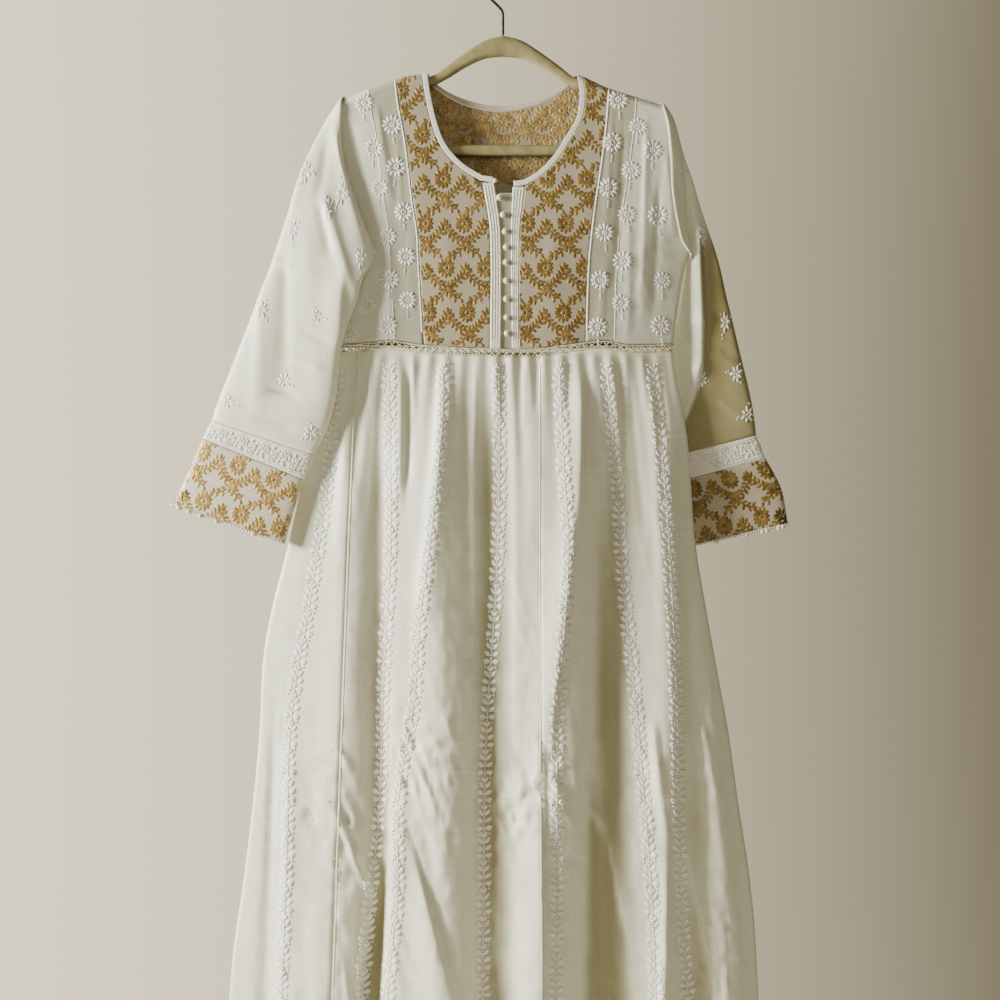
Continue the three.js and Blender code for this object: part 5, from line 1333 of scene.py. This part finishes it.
SPRAY_LEAVES = table("x z angle length width", [
    (23.3, -3, 90, 10, 5.2), (23.3, -3, 58, 9, 4.8), (22, -4, 124, 9, 4.8), (24.5, -4, 24, 8, 4.4),
    (2, -22, 292, 11, 5), (3, -23, 322, 9, 4.6), (1, -24, 268, 10, 4.8), (-14, -39, 200, 8, 4.6),
    (-15, -39, 240, 8, 4.4)])
SPRAY = leaves(joined(SPRAY_LEAVES["x"], SPRAY_LEAVES["z"]), SPRAY_LEAVES["angle"], SPRAY_LEAVES["length"],
               SPRAY_LEAVES["width"], 0.28)
JAAL = [FLOWER, FLOWER_EYE, SPRAY] + leafy(CUP, 2.8, 7.8, 4.5)
for droop in DROOPS:
    JAAL += leafy(droop, 2.9, 7.6, 4.4)


def jaal(low_x, high_x, low_z, high_z, start_x, start_z, drift=0.0):
    """The brocade's pattern over a rectangle: rows of flowers, every other one moved half a repeat aside."""
    first, last = math.floor((start_z - high_z) / JAAL_HIGH), math.ceil((start_z - low_z) / JAAL_HIGH)
    rows = np.arange(first - 1, last + 1)
    columns = np.arange(-12, 13)
    z = np.repeat(start_z - JAAL_HIGH * rows, len(columns))
    x = (start_x + drift * rows[:, None] + JAAL_WIDE * (columns[None, :] + (rows[:, None] % 2) / 2)).ravel()
    near = (x > low_x - 26) & (x < high_x + 14)  # the flowers whose stems or leaves reach the rectangle
    return [repeated(motif, joined(x, z)[near]) for motif in JAAL]


def inside_only(motifs, left_x, right_x, top_z, end_z):
    """Keeps the stitches that lie within four edges, and cuts those that cross one off along it."""
    kept = []
    for stitches, faces in motifs:
        x, z = stitches[..., 0], stitches[..., 1]
        middle_x, middle_z = x.mean(axis=1), z.mean(axis=1)
        inside = (middle_x > left_x(middle_z)) & (middle_x < right_x(middle_z))
        inside &= (middle_z < top_z(middle_x)) & (middle_z > end_z(middle_x))
        x, z = clamp(x, left_x(z), right_x(z)), clamp(z, end_z(x), top_z(x))
        if inside.any():
            kept.append((joined(x, z, stitches[..., 2])[inside], faces))
    return kept


def edge_of(places, shift):
    """An edge as a function of height, moved sideways."""
    order = np.argsort(places[:, 1])
    return lambda z: np.interp(z, places[order, 1], places[order, 0]) + shift


def front_end(x):
    """The lowest place of the woven pattern in front."""
    return bodice_end(FRONT)(x) + WOVEN_MARGIN


def back_end(x):
    """The lowest place of the woven pattern behind."""
    return bodice_end(BACK)(x) + WOVEN_MARGIN


def back_top(x):
    """The highest place of the woven pattern behind."""
    return neck_back_z(x) - 0.8


def inside_back(x, z, out):
    """A place function: on the back yoke's inside, standing out towards the front."""
    return on_body(BACK, x, np.minimum(z, shoulder_z(x) - 4), -SILK - 0.05 - out)


YOKE_AREA = -130, 130, -470, -120  # what the pattern covers before it is cut: low x, high x, low z, high z
for name, left_edge, right_edge, start, drift in (
        ("left", yoke_edges["left"][1], yoke_edges["left"][0], (-72.5, -255.6), 2.0),
        ("right", yoke_edges["right"][0], yoke_edges["right"][1], (53, -255.6), -1.5)):
    pattern = inside_only(jaal(*YOKE_AREA, *start, drift), edge_of(left_edge, WOVEN_MARGIN),
                          edge_of(right_edge, -WOVEN_MARGIN), lambda x: shoulder_z(x) - 0.5, front_end)
    stitched(f"front_yoke_{name}_zari", pattern, on_face(FRONT, 0.05), shaded_zari_thread)
neck_back_z = edge_of(joined(beyond[:, 1], beyond[:, 0]), 0.0)
back_left, back_right = edge_of(yoke_left, WOVEN_MARGIN), edge_of(yoke_right, -WOVEN_MARGIN)
pattern = inside_only(jaal(*YOKE_AREA, 0, -222), back_left, back_right, back_top, back_end)
stitched("back_yoke_zari", pattern, on_face(BACK, 0.05), shaded_zari_thread)
# the loose floats inside the back yoke, only as far down as the neck shows them
FLOATS_AREA = -130, 130, -300, -120
floats = jaal(*FLOATS_AREA, 0, -222) + jaal(*FLOATS_AREA, 23, -236)
pattern = inside_only(floats, back_left, back_right, back_top, lambda x: FLOATS_END_Z + 0 * x)
stitched("back_yoke_floats", pattern, inside_back, dull_zari_thread)
# the lit left cuff takes the lighter copy of the zari, and the right cuff the darker one: painted light and
# painted shade
for name, thread in (("left", lit_zari_thread), ("right", shaded_zari_thread)):
    place, find, around, fall = on_tube(sleeve_grids[f"cuff_{name}"], 0.05)
    repeats = round(around / JAAL_WIDE)
    stretch = around / (repeats * JAAL_WIDE)
    pattern = inside_only(jaal(JAAL_WIDE / 4, JAAL_WIDE * (repeats - 0.25), -fall, 0, 10, -14),
                          lambda z: -60 + 0 * z, lambda z: around + 60 + 0 * z,
                          lambda x: -WOVEN_MARGIN + 0 * x, lambda x: WOVEN_MARGIN - fall + 0 * x)
    stitched(f"cuff_{name}_zari", pattern, lambda x, z, out: place(x * stretch, z, out), thread)

# ---------------------------------------------------------------- trim, buttons and sewing
trim_reach = float(right_width(WAIST_Z))
cells = np.linspace(-trim_reach, trim_reach, TRIM_CELLS + 1)
cell = cells[1] - cells[0]
for name, face in FACES.items():
    steps = np.linspace(0, 1, 6)
    rise = (TRIM_HEIGHT - 1.6) * (steps - 0.5)
    bars = [joined(cells[:-1, None] + cell * steps, np.broadcast_to(sign * rise, (TRIM_CELLS, 6)))
            for sign in (1, -1)]
    rails = [cord([(-trim_reach, up), (0, up), (trim_reach, up)], 1.9, 1.7, TWINE) for up in (-3.7, 3.7)]
    ties = knots(joined(cells[:-1] + cell / 2, 0 * cells[:-1]), 1.6, 1.2)
    stitched(f"waist_trim_{name}_lattice", rails + [raised(np.concatenate(bars), 1.15, 1.1, TWINE), ties],
             lambda x, up, out: on_face(face, -0.1)(x, face["waist"](x) + up, out), trim_thread,
             replaced=[f"waist_trim_{name}"], slot="lattice_trim")


def balls(centres, radius, rings=10, sides=16):
    """Round beads: rings of points between two poles, for all centres at once."""
    up = np.cos(np.pi * np.arange(1, rings) / rings)
    wide = np.sin(np.pi * np.arange(1, rings) / rings)
    across, along = circle(sides).T
    ring = joined(wide[:, None] * across, wide[:, None] * along, up[:, None])
    ball = np.vstack([[[0, 0, 1], [0, 0, -1]], ring.reshape(-1, 3)])
    faces = capped_faces(rings - 1, sides)
    points = np.asarray(centres, float)[:, None, :] + np.reshape(radius, (-1, 1, 1)) * ball
    starts = np.arange(len(centres)) * len(ball)
    return points.reshape(-1, 3), (faces + starts[:, None, None]).reshape(-1, 3)


pearl_x, pearl_z = np.array(PEARLS, float).T
# the top pearl rests on the cloth, and the others are sunk between the strips
seat = np.where(np.arange(len(PEARLS)) == 0, -PEARL_RADIUS - SEAM, 1.6 - SEAM - PEARL_RADIUS)
pearl_centres = joined(pearl_x, body_y(FRONT, pearl_x, pearl_z) + seat, pearl_z)
points, faces = balls(pearl_centres, PEARL_RADIUS)
make_piece("pearl_buttons_lacquered", points, faces, pearl_lacquer,
           replaced=[f"pearl_button_{i + 1}" for i in range(len(PEARLS))], slot="pearl")
# thread loops from the right strip round each button
turn = np.linspace(-0.62 * np.pi, 0.62 * np.pi, 12) + np.pi
loop_x = pearl_x[1:, None] + LOOP_RADIUS * np.cos(turn) + 0.4
loop_x[:, [0, -1]] = LOOP_ROOT_X
loop_z = pearl_z[1:, None] + LOOP_RADIUS * np.sin(turn)
stitched("button_loops", [raised(joined(loop_x, loop_z), 0.8, 0.8, TWINE)], on_face(FRONT, 0.9), white_floss)


def beads_below(name, places, radius):
    """Small pearls along a cuff's end, in its front layer and again in its back layer."""
    place, find, around, fall = on_tube(sleeve_grids[name])
    places = np.array(places, float)
    spots = np.vstack([find(places[:, 0], places[:, 1]), find(places[:, 0], places[:, 1], False)])
    centres = place(spots[:, 0], -fall + 0 * spots[:, 0], 1.2 + 0 * spots[:, 0])
    return balls(centres - [0, 0, 1.5], radius, 8, 12)


CUFF_PEARLS = {"left": [(-400, -643), (-390, -653), (-379, -658), (-364, -666), (-345, -672), (-300, -686)],
               "right": [(341, -678), (335, -682), (323, -685), (316, -686), (298, -690), (262, -696)]}
for name, places in CUFF_PEARLS.items():
    points, faces = beads_below(f"cuff_{name}", places, 2.6)
    make_piece(f"cuff_{name}_pearls", points, faces, pearl_lacquer)
    place, find, around, fall = on_tube(sleeve_grids[f"cuff_{name}"])
    # a beaded edge: loops of thread along the cuff's end
    at = np.arange(0, around, 3.2)
    stitched(f"cuff_{name}_edging", [knots(joined(at, 0 * at - fall + 1.2), 2.6, 1.0)], place, white_floss)

# lines of sewing along the strips, beside the yoke, and where the single cloth beside it ends
sewing = []
for placket in (PLACKET_LEFT, PLACKET_RIGHT):
    near, far = strip_edge(placket, "inner", DOWNS[1:]), strip_edge(placket, "outer", DOWNS[1:])
    for fraction, width in ((0.12, 0.9), (0.36, 0.7), (0.62, 0.7), (0.88, 0.9)):
        sewing.append(cord(mix(near, far, fraction)[::5], width, 0.45))
for name, side in (("left", -1), ("right", 1)):
    seam = yoke_edges[name][1]
    sewing.append(cord((seam + [side * 1.6, 0])[::6], 2.0, 0.5))
    sewing.append(cord((seam + [side * (SINGLE_WIDTH + 1), 0])[4::6], 1.0, 0.35))
stitched("front_seam_sewing", sewing, on_face(FRONT, 0.1), white_floss)
# the skirt's panels are joined with a narrow felled seam, which covers the gap between them
seam_z = np.linspace(WAIST_Z - 10, HEM_Z + 2, 120)
for name, face in FACES.items():
    felled = [cord(joined(seam(seam_z) + SEAM / 2, seam_z), 2.8, 0.45, pitch=6.0)
              for seam in (skirt_seam_left, skirt_seam_right)]
    stitched(f"skirt_{name}_felled_seams", felled, on_face(face, 0.02), ivory_cotton)
# the hem's running stitches, each a run of three points
at = np.arange(-300, 300, 5.5)
runs = joined(at[:, None] + np.array([0, 1.8, 3.6]), HEM_Z + HEM_STITCHES)
for name, face in FACES.items():
    stitched(f"hem_sewing_{name}", [raised(runs, 0.8, 0.6, CORD)], on_face(face, 0.15), white_floss)

# ---------------------------------------------------------------- hanger
def on_arm(x, drop):
    """A height on the hanger's arm, which runs under the shoulder seam."""
    return shoulder_z(x) - HANGER_DROP - drop


half_loop = table("outer_x outer_z inner_x inner_z", [
    (22, -86, 21, -108), (46, -101, 44, -118), (68, -117, 65, -131)])
arm_x = np.array([98.0, 125, 155])
ends = table("outer_x outer_z inner_x inner_z", [
    (HANGER_REACH + 1, on_arm(HANGER_REACH, 12), HANGER_REACH - 12, on_arm(HANGER_REACH, HANGER_BAR + 6)),
    (HANGER_REACH - 1, HANGER_BAR_Z + 8, HANGER_REACH - 13, HANGER_BAR_Z + 13),
    (HANGER_REACH - 12, HANGER_BAR_Z - HANGER_BAR / 2, HANGER_REACH - 19, HANGER_BAR_Z + HANGER_BAR / 2),
    (90, HANGER_BAR_Z - HANGER_BAR / 2, 90, HANGER_BAR_Z + HANGER_BAR / 2)])


def half_hanger(side):
    """The stations of half the hanger, from its crown out along the arm and back along its bar."""
    def station(outer_x, outer_z, inner_x, inner_z):
        """The outer and the inner edge at one place, on this side."""
        return joined(side * outer_x, outer_z, side * inner_x, inner_z)

    neck = station(half_loop["outer_x"], half_loop["outer_z"], half_loop["inner_x"], half_loop["inner_z"])
    bend = [station(87, on_arm(side * 87, 1.6), 83, on_arm(side * 83, HANGER_BAR))]
    arm = station(arm_x, on_arm(side * arm_x, 0), arm_x - 4, on_arm(side * (arm_x - 4), HANGER_BAR))
    tip = [station(HANGER_REACH - 6, on_arm(side * HANGER_REACH, 1), HANGER_REACH - 15,
                   on_arm(side * HANGER_REACH, HANGER_BAR + 1))]
    end = station(ends["outer_x"], ends["outer_z"], ends["inner_x"], ends["inner_z"])
    end[:2, 1::2] += on_arm(side * HANGER_REACH, 0) - on_arm(HANGER_REACH, 0) if side < 0 else 0
    return np.vstack([neck, bend, arm, tip, end])


crown = [[0, HANGER_TOP_Z, 0, -105.6]]
stations = np.vstack([crown, half_hanger(1), half_hanger(-1)[::-1], crown])
fine = path(stations)(np.linspace(0, 1, 241))[:-1]
wide, deep = circle(HANGER_SIDES).T
across = 0.5 - 0.5 * np.sign(wide) * np.abs(wide) ** 0.6
thick = HANGER_THICKNESS / 2 * np.sign(deep) * np.abs(deep) ** 0.75
flat = mix(fine[:, None, :2], fine[:, None, 2:], across[None, :, None])
loop = joined(flat[..., 0], np.broadcast_to(thick, flat.shape[:2]), flat[..., 1])
faces = grid_faces(len(loop) + 1, HANGER_SIDES, True) % (len(loop) * HANGER_SIDES)
make_piece("hanger_moulding", loop, facing_out(loop.reshape(-1, 3), faces), moulded_plastic,
           replaced=["hanger"], slot="hanger_plastic")

hook_turn = HOOK_RADIUS + WIRE_RADIUS
hook_foot = -HOOK_RADIUS - hook_turn
shank = [(0, HANGER_TOP_Z + SEAM), (0, HANGER_TOP_Z + 14), (-1, hook_foot - 9), (-8, hook_foot - 0.5)]
crook = spokes(np.arange(215, -21, -23.5)) * hook_turn - [0, HOOK_RADIUS]
hook_route = np.vstack([shank, crook])
run = path(hook_route)(np.concatenate([[0, 0.004], np.linspace(0.02, 0.98, 90), [0.996, 1]]))
full = np.ones(len(run))
full[1] = full[-2] = 0.8
stitched("hook_drawn_wire", [raised(run[None], 2 * WIRE_RADIUS, 2 * WIRE_RADIUS, circle(20) / 2, full)],
         lambda x, z, out: joined(x, out, z), dark_wire, replaced=["hanger_hook"], slot="hook_wire")

# ---------------------------------------------------------------- floor, light and camera
# matt floor paint: even, faintly mottled
floor_material = moulded("floor_paint", "#D8D2C4", "#CFC8B8", 0.3, 0.0002, Roughness=0.9)
FLOOR_Z, FLOOR_REACH = HEM_Z - 260, 1100
corners = [[-FLOOR_REACH, -FLOOR_REACH, FLOOR_Z], [FLOOR_REACH, -FLOOR_REACH, FLOOR_Z],
           [FLOOR_REACH, FLOOR_REACH, FLOOR_Z], [-FLOOR_REACH, FLOOR_REACH, FLOOR_Z]]
floor_mesh = bpy.data.meshes.new("floor")
floor_mesh.from_pydata([[c / 1000 for c in corner] for corner in corners], [], [[0, 1, 2, 3]])
floor_mesh.materials.append(floor_material)
floor = bpy.data.objects.new("floor", floor_mesh)
bpy.context.scene.collection.objects.link(floor)

world = bpy.data.worlds.new("studio")
world.use_nodes = True
tree = world.node_tree
direction = add_node(tree, "ShaderNodeTexCoord").outputs["Generated"]
toward = add_node(tree, "ShaderNodeSeparateXYZ", {0: direction}).outputs
behind = blend(tree, ranged(tree, toward[0], -0.28, 0.3), linear("#E9E0C0"), linear("#453D28"))
tree.links.new(blend(tree, ranged(tree, toward[1], -0.1, 0.75), linear("#4C483C"), behind),
               tree.nodes["Background"].inputs["Color"])
tree.nodes["Background"].inputs["Strength"].default_value = 2.0
bpy.context.scene.world = world


def add_light(name, place, aim, size, power, colour):
    """A soft square light at a place in metres, turned to its aim."""
    data = bpy.data.lights.new(name, "AREA")
    data.size = size
    data.energy = power
    data.color = linear(colour)[:3]
    light = bpy.data.objects.new(name, data)
    light.location = place
    direction = np.array(aim) - np.array(place)
    light.rotation_euler = (math.acos(-direction[2] / np.linalg.norm(direction)), 0,
                            math.atan2(direction[1], direction[0]) - math.pi / 2)
    bpy.context.scene.collection.objects.link(light)
    return light


add_light("window", (-2.6, -0.75, -0.1), (0, 0, -0.65), 0.8, 250, "#FFFDF6")
add_light("room", (0.4, -2.6, 0.3), (0, 0, -0.7), 2.0, 16, "#FFF1DA")

camera_data = bpy.data.cameras.new("camera")
camera_data.lens = 70
camera_data.sensor_width = 36
camera = bpy.data.objects.new("camera", camera_data)
camera.location = (-0.0036, -2.348, -0.6408)
camera.rotation_euler = (math.pi / 2, 0, 0)
bpy.context.scene.collection.objects.link(camera)
bpy.context.scene.camera = camera
